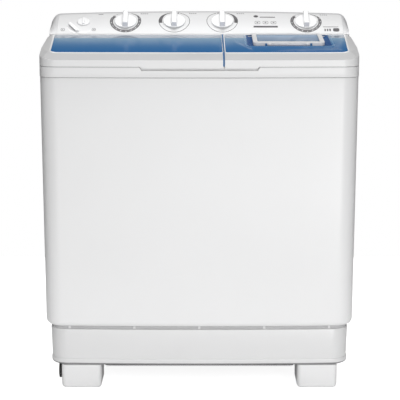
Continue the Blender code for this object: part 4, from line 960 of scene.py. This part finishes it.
def inlet_lever():
    hub = lathe([(0, 0.0052), (0.0040, 0.0050), (0.0058, 0.0042), (0.0064, 0.0030), (0.0064, 0.0),
                 (0.0032, 0.0),
                 (0.0032, -0.012), (0, -0.012)], 40)
    lean = math.radians(40)
    pts = []
    for start, reach, n in ((0.0, 0.034, 16), (math.pi, 0.0, 8)):
        for k in range(n + 1):
            t = start + math.pi * k / n
            pts.append((0.005 * math.cos(t), reach + 0.005 * math.sin(t)))
    turn = [(x * math.cos(lean) - y * math.sin(lean), x * math.sin(lean) + y * math.cos(lean)) for x,
            y in pts]
    mid = Vector((-math.sin(lean) * 0.017, math.cos(lean) * 0.017))

    def level(z, k):
        return [(mid.x + (x - mid.x) * k, mid.y + (y - mid.y) * k, z) for x, y in turn]

    arm = loft([level(0.0014, 1.0), level(0.0044, 1.0), level(0.0054, 0.985), level(0.0058, 0.95)])
    bm = carve(hub, [("add", arm)])
    moved(bm, face_matrix(LEVER_X, LEVER_S, 0.0008))
    to_piece("inlet_lever_piece", bm, WHITE, "inlet_selector", ["inlet_lever"])


# ---------------------------------------------------------------- lids
def bevel_planes(inset):
    planes = []
    for i in range(13):
        x = -0.420 + 0.070 * i
        tangent = 2 * BOW * x / HALF_W ** 2
        y = FRONT + BOW * (x / HALF_W) ** 2
        planes.append((Vector((x, y, 0.9855)), Vector((0.37 * tangent, -0.37, 1.0)).normalized()))
    for side in (-1, 1):
        for z, rise, lean in (SIDE_FRONT, SIDE_REAR):
            planes.append((Vector((side * HALF_W, FRONT, z)), Vector((lean * side, -rise,
                                                                      1.0)).normalized()))
    planes.append((Vector((0, yd(FOOT_D), FOOT_Z)), Vector((0, -0.126, 1.0)).normalized()))
    return [(p - n * inset, n) for p, n in planes]


def window_z(depth):
    return FOOT_Z - 0.126 * (FOOT_D - depth)


def crown(x0, x1, d1, inset, low, skin=0.0):
    ring = wall_ring(HALF_W, 0.0, 0.549, low, inset)
    bm = loft([ring, [(x, y, 1.10) for x, y, z in ring]])
    sides = [
        (Vector((x0, 0, 0)), Vector((-1, 0, 0))),
        (Vector((x1, 0, 0)), Vector((1, 0, 0))),
        (Vector((0, yd(d1), 0)), Vector((0, 1, 0))),
    ]
    for point, normal in sides + bevel_planes(inset + skin):
        geom = list(bm.verts) + list(bm.edges) + list(bm.faces)
        bmesh.ops.bisect_plane(bm, geom=geom, plane_co=point, plane_no=normal, clear_outer=True)
        rim = [e for e in bm.edges if e.is_boundary]
        if rim:
            bmesh.ops.edgeloop_fill(bm, edges=rim)
    bmesh.ops.dissolve_limit(bm, angle_limit=0.0005, verts=bm.verts, edges=bm.edges)
    return bm


def rounded_plan(pts, r, n=5):
    """Round every clear corner of a closed plan."""
    out = []
    count = len(pts)
    for i in range(count):
        p = Vector(pts[i])
        a = Vector(pts[i - 1]) - p
        b = Vector(pts[(i + 1) % count]) - p
        turn = math.pi - a.angle(b)
        if turn < math.radians(9):
            out.append(tuple(p))
            continue
        reach = min(r * math.tan(turn / 2) if turn < 2.6 else r, a.length * 0.48, b.length * 0.48)
        start = p + a.normalized() * reach
        end = p + b.normalized() * reach
        for k in range(n + 1):
            u = k / n
            q = start * (1 - u) ** 2 + p * 2 * u * (1 - u) + end * u ** 2
            out.append(tuple(q))
    return out


def window_plan(x0, x1, shrink, r=0.010):
    d_front = 0.0500 + shrink
    d_rear = 0.3270 - shrink

    def side_x(depth):
        return 0.4302 + 0.0475 * depth - shrink

    def front(x):
        return d_front + BOW * (x / HALF_W) ** 2

    def half_plan(side, xs, xa):
        pts = [(x, front(x)) for x in [xa] + xs]
        pts += [(side_x(0.060) - 0.014, front(0.40) + 0.0012), (side_x(0.066) - 0.003, 0.066 + shrink * 0.6),
                (side_x(0.075), 0.075), (side_x(d_rear - 0.006), d_rear - 0.006),
                (side_x(d_rear) - 0.004, d_rear), (xa, d_rear)]
        return rounded_plan([(side * x, d) for x, d in pts], r)

    outer_xs = [0.12, 0.16, 0.20, 0.24, 0.28, 0.32, 0.36]
    if x0 < -0.3:
        return half_plan(-1, [-0.04, -0.02, 0.0, 0.04, 0.08] + outer_xs, -(x1 - shrink))[::-1]
    return half_plan(1, outer_xs, x0 + shrink)


def slab(plan, up, down):
    low = [(x, yd(d), window_z(d) + down) for x, d in plan]
    high = [(x, yd(d), window_z(d) + up) for x, d in plan]
    return loft([low, high])


def lid_lug(x):
    y = yd(HINGE_D)
    shape = [(-0.0048, -0.0020), (-0.0020, -0.0048), (0.0020, -0.0048), (0.0048, -0.0020), (0.0210, 0.0060),
             (0.0215, 0.0086), (0.0145, 0.0078), (-0.0030, 0.0050), (-0.0048, 0.0030)]
    return across(x, 0.004, [(y + a, HINGE_Z + b) for a, b in shape])


def finger_lip(x0, x1, clip0, clip1):
    stations = [(x0, DECK_TOP if clip0 else LIP_LOW), (x0 + 0.0047, LIP_LOW)]
    for i in range(1, 8):
        stations.append((x0 + (x1 - x0) * i / 8, LIP_LOW))
    stations += [(x1 - 0.0047, LIP_LOW), (x1, DECK_TOP if clip1 else LIP_LOW)]
    rings = []
    for x, low in stations:
        y = FRONT + BOW * (x / HALF_W) ** 2 + 0.00005
        high = DECK_TOP + 0.0025
        rings.append([(x, y, low), (x, y + 0.0024, low), (x, y + 0.0024, high), (x, y, high)])
    return loft(rings)


def window_bead(x0, x1, plan_in, plan_out, name, body):
    """Narrow white border that follows the crown round a window; its brighter white is a painted highlight
    along the window's rim.
    """
    ring = loft([[(x, yd(d), z) for x, d in plan_out] for z in (0.985, 1.045)])
    above = carve(block(-0.48, 0.48, yd(-0.05), yd(0.40), 0.96, 1.07),
                  [("cut", crown(x0, x1, 0.36, -0.0003, 0.95))])
    steps = [
        ("cut", loft([[(x, yd(d), z) for x, d in plan_in] for z in (0.98, 1.05)])),
        ("cut", above),
        ("cut", crown(x0 - 0.01, x1 + 0.01, 0.37, 0.0004, 0.94)),
        ("cut", block(-0.48, 0.48, yd(LID_END - 0.0035), yd(0.37), 0.96, 1.07)),
    ]
    to_piece(name, carve(ring, steps), BEAD_PAINTED_HIGHLIGHT, body, (), 0.0, 2, 34.0)


def lid_frame(name, node, body, x0, x1, lugs):
    left = x0 < -0.3
    inner0 = x0 - 1.0 if left else x0 + 0.002
    inner1 = x1 - 0.002 if left else x1 + 1.0
    wx0 = x0 if left else x0 + 0.002
    wx1 = x1 - 0.002 if left else x1
    outer = -HALF_W if left else HALF_W
    inner = outer * 0.9873
    steps = [
        ("cut", crown(inner0, inner1, LID_END - 0.0025, 0.0025, DECK_TOP - 0.01, 0.0035)),
        ("cut", slab(window_plan(wx0, wx1, 0.0), 0.02, -0.0033)),
        ("cut", slab(window_plan(wx0, wx1, 0.0062), 0.02, -0.02)),
        ("cut", block(x0 - 0.01, x1 + 0.01, yd(HINGE_D), yd(0.36), 0.90, HINGE_Z + 0.0062)),
        ("cut", block(min(outer, inner) - 0.001, max(outer, inner) + 0.001, yd(HINGE_D), yd(0.36), 0.90,
                      1.10)),
    ]
    steps += [("add", lid_lug(x)) for x in lugs]
    steps += [("cut", rod(0.0029, 0.03, "X", 20, (x, yd(HINGE_D), HINGE_Z))) for x in lugs]
    lip = finger_lip(LIP_X[0], x1, True, False) if left else finger_lip(x0, LIP_X[1], False, True)
    steps.append(("add", lip))
    bm = carve(crown(x0, x1, LID_END, 0.0, DECK_TOP + GAP), steps)
    # faces that look upwards take the greyer white: painted shade on the lid's top bevel; the skirts stay
    # white
    for f in bm.faces:
        f.normal_update()
        f.material_index = 1 if f.normal.z > 0.6 else 0
    to_piece(name, bm, [WHITE, BEVEL], body, [node], 0.0010, 3, 14.0)


def window_piece(name, node, body, plan, steps=()):
    """Glossy window with a softly rounded rim; its rear strip is glossier and painted lighter and greyer, a
    painted reflection of the control face.
    """
    bm = slab(plan, -0.0002, -0.0030)
    if steps:
        bm = carve(bm, steps)
    geom = list(bm.verts) + list(bm.edges) + list(bm.faces)
    bmesh.ops.bisect_plane(bm, geom=geom, plane_co=Vector((0, yd(STRIP_D), 0)), plane_no=Vector((0, 1, 0)))
    for f in bm.faces:
        f.normal_update()
        c = f.calc_center_median()
        # top faces behind STRIP_D take the painted reflection
        f.material_index = 1 if c.y > yd(STRIP_D) and f.normal.z > 0.5 else 0
        # faces down in the pocket take the deep blue: painted shade in the recess
        inside = POCKET[0] - 0.001 < c.x < POCKET[1] + 0.001 and c.y > yd(POCKET[2] - 0.001)
        if steps and inside and c.z < window_z(c.y - FRONT) - 0.0010:
            f.material_index = 2
    return to_piece(name, bm, [BLUE, BLUE_REAR_PAINTED_REFLECTION, POCKET_PAINTED_SHADE], body, [node], 0.0009, 3, 30.0)


def grown(x0, x1, d0, d1, r=0.0):
    """Plan rectangle, with its two front corners rounded."""
    if r == 0:
        return [(x0, d0), (x1, d0), (x1, d1), (x0, d1)]
    turns = [math.pi / 2 * k / 6 for k in range(7)]
    arc = [(r * (1 - math.cos(t)), r * (1 - math.sin(t))) for t in turns]
    right = [(x1 - b, d0 + a) for a, b in arc]
    left = [(x0 + a, d0 + b) for a, b in arc]
    return right + [(x1, d1), (x0, d1)] + left


def edge_strip():
    """Blue seal along the meeting edge of the wash lid."""
    x0, x1 = SPLIT_X - SPLIT_GAP - 0.0020, SPLIT_X + SPLIT_GAP - 0.0005
    inner = crown(x0 - 0.01, x1 + 0.01, LID_END, 0.0022, DECK_TOP - 0.01, 0.0022)
    tail = block(x0 - 0.01, x1 + 0.01, yd(HINGE_D), yd(0.36), 0.90, HINGE_Z + 0.0062)
    bm = carve(crown(x0, x1, LID_END - 0.0004, -0.0003, DECK_TOP + 0.0012), [("cut", inner), ("cut", tail)])
    to_piece("lid_edge_seal", bm, EDGE_BLUE, "wash_lid", (), 0.0004, 2, 20.0)


def flap_bore(x, radius):
    return rod(radius, 0.02, "X", 16, (x, yd(FLAP_AXIS_D), window_z(FLAP_AXIS_D) + 0.0010))


def lids():
    edge_strip()
    split = SPLIT_GAP + 0.0004
    window_bead(-HALF_W, SPLIT_X - split, window_plan(-HALF_W, SPLIT_X - 0.004, 0.0003),
                window_plan(-HALF_W, SPLIT_X - split - 0.0040, -0.0040), "wash_window_bead", "wash_lid")
    window_bead(SPLIT_X + split, HALF_W, window_plan(SPLIT_X + 0.004, HALF_W, 0.0003),
                window_plan(SPLIT_X + split + 0.0040, HALF_W, -0.0040), "spin_window_bead", "spin_lid")
    lid_frame("wash_lid_rim", "wash_lid_frame", "wash_lid", -HALF_W - 0.01, SPLIT_X - SPLIT_GAP,
              (-0.400, 0.016))
    lid_frame("spin_lid_rim", "spin_lid_frame", "spin_lid", SPLIT_X + SPLIT_GAP, HALF_W + 0.01,
              (0.124, 0.416))
    window_piece("wash_lid_glass", "wash_lid_window", "wash_lid",
                 window_plan(-HALF_W, SPLIT_X - 0.004, 0.0004))
    x0, x1, d0, d1 = POCKET
    pan = slab(grown(x0 - 0.003, x1 + 0.003, d0 - 0.003, 0.3195, 0.014), -0.0006, -0.0068)
    top = [(x, yd(d), window_z(d) + 0.002) for x, d in grown(x0, x1, d0, d1, 0.012)]
    low = [(x, yd(d), window_z(d) - 0.0052) for x, d in grown(x0 + 0.0135, x1 - 0.0175, d0 + 0.0080, d1,
                                                              0.010)]
    steps = [("add", pan), ("cut", loft([low, top])), ("cut", slab(grown(0.180, 0.356, 0.196, 0.305),
                                                                   0.02, -0.02))]
    for x in FLAP_POSTS:
        post = grown(x - 0.003, x + 0.003, FLAP_AXIS_D - 0.003, FLAP_AXIS_D + 0.003)
        steps.append(("add", slab(post, 0.0040, -0.0065)))
    steps += [("cut", flap_bore(x, 0.0017)) for x in FLAP_POSTS]
    window_piece("spin_lid_glass", "spin_lid_window", "spin_lid",
                 window_plan(SPLIT_X + 0.004, HALF_W, 0.0004), steps)
    # thin light-blue band round the pocket's rim: painted highlight on its edge
    edge = slab(grown(x0 - 0.0012, x1 + 0.0012, d0 - 0.0022, d1, 0.012), 0.0003, -0.0012)
    rim_highlight = carve(edge, [("cut", slab(grown(x0 + 0.0002, x1 - 0.0002, d0 + 0.0002, d1 + 0.01, 0.012), 0.02,
                                     -0.02))])
    to_piece("pocket_rim_painted_highlight", rim_highlight, POCKET_RIM_PAINTED_HIGHLIGHT, "spin_lid", ())


def flap():
    x0, x1, d0, d1 = FLAP
    steps = [
        ("cut", slab(rounded_plan(grown(x0 + 0.0135, x1 - 0.0135, d0 + 0.019, d1 - 0.0055), 0.006), 0.02,
                     -0.02)),
        ("cut", slab(rounded_plan(grown(x0 + 0.0095, x1 - 0.0095, d0 + 0.015, d1 - 0.0030), 0.006),
                     0.0012, -0.02)),
    ]
    for x in FLAP_LUGS:
        lug = slab(grown(x - 0.0035, x + 0.0035, FLAP_AXIS_D - 0.0028, d0 + 0.003), 0.0036, -0.0016)
        steps.append(("add", lug))
    steps += [("cut", flap_bore(x, 0.0019)) for x in FLAP_LUGS]
    bm = carve(slab(grown(x0, x1, d0, d1, 0.012), 0.0052, -0.0047), steps)
    to_piece("flap_rim", bm, FASCIA, "flap", ["flap_frame"], 0.0009, 3, 30.0)
    pane = rounded_plan(grown(x0 + 0.0099, x1 - 0.0099, d0 + 0.0154, d1 - 0.0034), 0.0055)
    to_piece("flap_glass", slab(pane, 0.0009, -0.0018), FLAP_BLUE, "flap", ["flap_window"],
             0.0005, 2)


# ---------------------------------------------------------------- wash and spin sides
def wash_tub():
    """Rectangular tub with round corners, a rolled rim and ribbed walls."""
    def ring(z, inset, r=0.060):
        return outline(0.236 - inset, 0.028 + inset, 0.496 - inset, z, r, r, 0, WASH_X, 12, 10)

    rings = [
        ring(0.4700, 0.060, 0.040), ring(0.4704, 0.044, 0.050), ring(0.4722, 0.030), ring(0.4770, 0.021),
        ring(0.4860, 0.0155), ring(0.5200, 0.0100), ring(0.9556, 0.0), ring(0.9560, -0.0006),
        ring(0.9560, -0.0096),
        ring(0.9564, -0.0100), ring(0.9611, -0.0100), ring(0.9617, -0.0094), ring(0.9617, 0.0024),
        ring(0.9612, 0.0030), ring(0.5200, 0.0130), ring(0.4890, 0.0187), ring(0.4795, 0.0245),
        ring(0.4752, 0.0340), ring(0.4734, 0.0470, 0.050), ring(0.4732, 0.060, 0.040),
    ]
    steps = [
        ("cut", rod(0.0135, 0.03, "Z", 48, (WASH_X, yd(WASH_D), 0.472))),
        ("cut", rod(0.0150, 0.03, "Z", 48, (DRAIN_X - 0.055, yd(0.440), 0.472))),
    ]
    to_piece("wash_tub_shell", carve(loft(rings), steps), INNER, "machine", ["wash_tub"])
    ribs = []
    for i in range(5):
        x = WASH_X - 0.16 + 0.08 * i
        for d, side in ((0.0395, 1), (0.4845, -1)):
            y = yd(d)
            rows = ((0.006, y, 0.56, 0.90), (0.003, y + side * 0.0040, 0.575, 0.885))
            rib = loft([[(x - w, v, z0), (x + w, v, z0), (x + w, v, z1), (x - w, v, z1)] for w, v, z0,
                        z1 in rows])
            if not (side < 0 and abs(x - WASH_X) < 0.07):
                ribs.append(rib)
    to_piece("wash_tub_ribs", joined(ribs), INNER, "machine", (), 0.0008)


def pulsator():
    """Dished disc with four swept vanes and a domed hub."""
    profile = [
        (0.0, 0.5130), (0.010, 0.5128), (0.018, 0.5112), (0.025, 0.5085), (0.032, 0.5050), (0.045, 0.5000),
        (0.060, 0.4962), (0.090, 0.4918), (0.120, 0.4900), (0.148, 0.4906), (0.163, 0.4924), (0.168, 0.4922),
        (0.1712, 0.4908), (0.172, 0.4880), (0.172, 0.4800), (0.168, 0.4800), (0.160, 0.4860),
        (0.060, 0.4860),
        (0.024, 0.4900), (0.024, 0.4780), (0.0078, 0.4780), (0.0078, 0.5080), (0.0, 0.5080),
    ]
    steps = []
    for i in range(4):
        rings = []
        for k in range(11):
            u = k / 10
            r = 0.028 + 0.122 * u
            t = math.pi / 2 * i + 0.10 * math.sin(math.pi * u)
            across = Vector((-math.sin(t), math.cos(t), 0))
            mid = Vector((r * math.cos(t), r * math.sin(t), 0))
            wide = 0.0125 - 0.004 * u
            tip = 0.520 - 0.012 * max(0.0, (u - 0.75) / 0.25) ** 2
            level = ((-wide, 0.4880), (-wide * 0.55, tip - 0.010), (-wide * 0.28, tip - 0.0015), (0, tip),
                     (wide * 0.28, tip - 0.0015), (wide * 0.55, tip - 0.010), (wide, 0.4880))
            rings.append([tuple(mid + across * a + Vector((0, 0, z))) for a, z in level])
        steps.append(("add", loft(rings)))
    bm = carve(lathe(profile, 96), steps)
    at(bm, WASH_X, WASH_D)
    to_piece("pulsator_disc", bm, COOL, "pulsator_body", ["pulsator"], sharp=40)


def lint_filter():
    x0, x1 = WASH_X - 0.055, WASH_X + 0.055
    steps = [("cut", block(x0 + 0.003, x1 - 0.003, yd(0.459), yd(0.498), 0.663, 0.847))]
    slots = []
    for i in range(12):
        z = 0.6855 + 0.0125 * i
        for k in range(3):
            x = WASH_X - 0.030 + 0.030 * k
            slots.append(block(x - 0.012, x + 0.012, yd(0.44), yd(0.468), z, z + 0.0065))
    steps.append(("cut", joined(slots)))
    bm = carve(block(x0, x1, yd(0.456), yd(0.478), 0.660, 0.850), steps)
    to_piece("lint_filter_box", bm, COOL, "machine", ["lint_filter"], 0.0010)


def spin_tub():
    r = SPIN_R
    profile = [
        (r + 0.0054, 0.9617), (r + 0.006, 0.9611), (r + 0.006, 0.9564), (r + 0.0056, 0.9560), (r, 0.9560),
        (r - 0.003, 0.4860), (r - 0.006, 0.4740), (r - 0.016, 0.4660), (r - 0.024, 0.4650),
        (0.042, 0.4650), (0.042, 0.4600), (0.032, 0.4600), (0.032, 0.4680), (r - 0.024, 0.4680),
        (r - 0.017, 0.4690), (r - 0.010, 0.4740), (r - 0.0068, 0.4830), (r - 0.0063, 0.5100),
        (r - 0.003, 0.9612),
        (r - 0.0026, 0.9617),
    ]
    pin = lathe([(0, 0.4665), (0.0090, 0.4665), (0.0074, 0.4620), (0.0070, 0.4560), (0.0070, 0.3440),
                 (0.0030, 0.3440), (0.0030, 0.3264), (0.0026, 0.3260), (0, 0.3260)], 40)
    bm = at(lathe(profile, 112, loop=True), SPIN_X, SPIN_D)
    steps = [("add", at(pin, *BRAKE_AT)),
             ("cut", rod(0.0110, 0.03, "Z", 40, (SPIN_DRAIN_X, yd(SPIN_DRAIN_D), 0.466)))]
    to_piece("spin_tub_shell", carve(bm, steps), INNER, "machine", ["spin_tub"])


def spin_basket():
    """Perforated drum with a rolled rim."""
    r = BASKET_R
    profile = [
        (0.1270, 0.9000), (0.1380, 0.9000), (0.1405, 0.8992), (r - 0.0020, 0.8945), (r - 0.0004, 0.8915),
        (r, 0.8880), (r - 0.004, 0.5240), (r - 0.0065, 0.5140), (r - 0.0120, 0.5080), (r - 0.018, 0.5060),
        (0.060, 0.5060), (0.050, 0.5000), (0.0085, 0.5000), (0.0085, 0.5360), (0.020, 0.5360),
        (0.0230, 0.5330),
        (0.0300, 0.5110), (r - 0.019, 0.5090), (r - 0.0135, 0.5110), (r - 0.0092, 0.5160),
        (r - 0.0075, 0.5230),
        (r - 0.0045, 0.8420), (0.1235, 0.8555), (0.1235, 0.8585), (r - 0.0042, 0.8600), (r - 0.0038, 0.8865),
        (r - 0.0050, 0.8915), (0.1390, 0.8970), (0.127, 0.8970),
    ]
    pins = []
    for row in range(8):
        z = 0.560 + 0.035 * row
        for i in range(9):
            turn = math.pi * (i + 0.5 * (row % 2)) / 9 + 0.05
            pins.append(moved(rod(0.0030, 2 * r + 0.02, "X", 14, (0, 0, z)), Matrix.Rotation(turn, 4, "Z")))
    bm = lathe(profile, 108, loop=True)
    for pin in pins:
        bm = carve(bm, [("cut", pin)])
    at(bm, SPIN_X, SPIN_D)
    to_piece("basket_drum", bm, STEEL, "basket_body", ["spin_basket"], sharp=40)


def press_cover():
    profile = [(0.012, 0.8720), (0.0140, 0.8722), (0.020, 0.8682), (0.060, 0.8655), (0.100, 0.8640),
               (0.1120, 0.8656),
               (0.118, 0.8660), (0.1255, 0.8660), (0.1262, 0.8654), (0.1262, 0.8594), (0.1256, 0.8590),
               (0.112, 0.8590), (0.100, 0.8605), (0.060, 0.8620), (0.020, 0.8645), (0.012, 0.8680)]
    holes = []
    for count, radius in ((8, 0.045), (14, 0.075)):
        for i in range(count):
            t = math.tau * i / count
            holes.append(rod(0.0040, 0.03, "Z", 16, (radius * math.cos(t), radius * math.sin(t), 0.865)))
    bm = carve(lathe(profile, 96, loop=True), [("cut", joined(holes))])
    at(bm, SPIN_X, SPIN_D)
    to_piece("press_disc", bm, COOL, "press_cover_body", ["press_cover"], sharp=40)


# ---------------------------------------------------------------- carried-over CAD nodes
def dress(names, mat):
    for name in names:
        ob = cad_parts[name]
        mesh = ob.data
        mesh.materials.clear()
        mesh.materials.append(mat)
        for poly in mesh.polygons:
            poly.use_smooth = True
            poly.material_index = 0
        if mesh.has_custom_normals:
            mesh.attributes.remove(mesh.attributes["custom_normal"])
        weld = ob.modifiers.new("weld", "WELD")
        weld.merge_threshold = 0.00001
        split = ob.modifiers.new("creases", "EDGE_SPLIT")
        split.split_angle = math.radians(34)


def carried_nodes():
    dress(("wash_timer", "spin_timer", "mode_switch", "drain_selector", "drain_valve_body", "capacitor"),
          INNER)
    dress(("drain_pipe", "spin_drain_pipe", "drain_outlet"), GREY)
    dress(("lid_switch",), DARK_PLASTIC_AND_SHADE)
    dress(("drive_belt", "spin_seal", "motor_mount_a", "motor_mount_b", "motor_mount_c",
           "drain_valve_plug"), RUBBER)
    dress(("wash_hinge_rod", "spin_hinge_rod", "flap_hinge_rod", "pulsator_shaft", "spin_shaft",
           "drive_bracket",
           "brake_lever", "motor_pulley", "gearbox_pulley", "brake_drum"), STEEL)
    dress(("wash_gearbox",), CAST)
    dress(("wash_motor", "spin_motor"), MOTOR)


# ---------------------------------------------------------------- floor, light and camera
def area(name, at, aim, width, height, power):
    data = bpy.data.lights.new(name, "AREA")
    data.shape = "RECTANGLE"
    data.size = width
    data.size_y = height
    data.energy = power
    ob = placed(name, data)
    ob.location = at
    ob.rotation_euler = (Vector(aim) - Vector(at)).to_track_quat("-Z", "Y").to_euler()


def studio():
    bm = bmesh.new()
    bmesh.ops.create_grid(bm, x_segments=24, y_segments=24, size=1.6)
    mesh = bpy.data.meshes.new("floor")
    bm.to_mesh(mesh)
    bm.free()
    floor = placed("floor", mesh)
    floor.location = (0, 0, -0.0005)
    mat, tree, shader, coord = new_material("pale_floor")
    soft = noise(tree, coord, 1.5, 2.0)
    pale = tinted(tree, soft.outputs["Fac"], (0.93, 0.93, 0.93), (0.95, 0.95, 0.95))
    tree.links.new(pale, shader.inputs["Base Color"])
    shader.inputs["Roughness"].default_value = 0.8
    shader.inputs["Emission Color"].default_value = WHITE_RGBA
    path = tree.nodes.new("ShaderNodeLightPath")
    glow = mapped(tree, path.outputs["Is Camera Ray"], 0.0, 1.0, 0.04, 0.85)
    tree.links.new(glow, shader.inputs["Emission Strength"])
    mesh.materials.append(mat)
    world = bpy.data.worlds.new("studio")
    bpy.context.scene.world = world
    world.use_nodes = True
    sky(world.node_tree)
    area("front_box", (0.5, -4.0, 1.25), (0, 0, 0.55), 3.0, 2.4, 53)
    area("right_strip", (1.45, -3.7, 1.0), (0.1, 0, 0.6), 0.22, 2.2, 20)
    area("left_strip", (-1.45, -3.7, 1.0), (-0.1, 0, 0.6), 0.16, 2.2, 8)
    area("top_box", (0, 0.05, 2.9), (0, 0.15, 1.0), 1.8, 0.5, 26)


def sky(tree):
    """Soft white surround, dimmer to the sides; what glossy surfaces see behind the machine is dark."""
    back = tree.nodes["Background"]
    coord = tree.nodes.new("ShaderNodeTexCoord")
    split = tree.nodes.new("ShaderNodeSeparateXYZ")
    tree.links.new(coord.outputs["Generated"], split.inputs["Vector"])
    side = calculated(tree, "ABSOLUTE", split.outputs["X"])
    dim = mapped(tree, side, 0.35, 0.95, SKY, SKY * 0.22, smooth=True)
    low = mapped(tree, split.outputs["Z"], -0.30, 0.15, 0.30, 1.0)
    tree.links.new(calculated(tree, "MULTIPLY", dim, low), back.inputs["Strength"])
    rear = tree.nodes.new("ShaderNodeBackground")
    far = mapped(tree, split.outputs["Y"], -0.1, 0.5, SKY, 0.03, smooth=True)
    tree.links.new(far, rear.inputs["Strength"])
    seen = tree.nodes.new("ShaderNodeBackground")
    path = tree.nodes.new("ShaderNodeLightPath")
    shiny = tree.nodes.new("ShaderNodeMixShader")
    tree.links.new(path.outputs["Is Glossy Ray"], shiny.inputs["Fac"])
    tree.links.new(back.outputs["Background"], shiny.inputs[1])
    tree.links.new(rear.outputs["Background"], shiny.inputs[2])
    final = tree.nodes.new("ShaderNodeMixShader")
    tree.links.new(path.outputs["Is Camera Ray"], final.inputs["Fac"])
    tree.links.new(shiny.outputs["Shader"], final.inputs[1])
    tree.links.new(seen.outputs["Background"], final.inputs[2])
    for node in (back, rear, seen):
        node.inputs["Color"].default_value = WHITE_RGBA
    tree.links.new(final.outputs["Shader"], tree.nodes["World Output"].inputs["Surface"])


def camera():
    data = bpy.data.cameras.new("camera")
    data.lens = 128.57
    data.sensor_width = 36.0
    data.shift_x = 0.00175
    ob = placed("camera", data)
    ob.location = (0, -4.375, 1.302)
    ob.rotation_euler = (math.radians(80), 0, 0)
    bpy.context.scene.camera = ob


bpy.context.scene.view_settings.view_transform = "Standard"
base_frame()
groove_clips()
base_tray()
for end, toe, d0, d1, axle in (("front", 0.0275, 0.0370, 0.150, 0.125),
                               ("rear", 0.420, 0.420, 0.520, 0.445)):
    foot("foot_%s_left" % end, -1, toe, d0, d1, axle)
    foot("foot_%s_right" % end, 1, toe, d0, d1, None)
wheel("wheel_front", 0.125, "front_wheel")
wheel("wheel_rear", 0.445, "rear_wheel")
cabinet()
rear_panel()
top_frame()
control_housing()
control_fascia()
panel_print()
for index, dial in enumerate(("wash_timer", "wash_mode", "drain", "spin_timer")):
    knob(dial + "_knob", index, dial + "_dial")
inlet_cap()
inlet_lever()
lids()
flap()
wash_tub()
pulsator()
lint_filter()
spin_tub()
spin_basket()
press_cover()
carried_nodes()
studio()
camera()
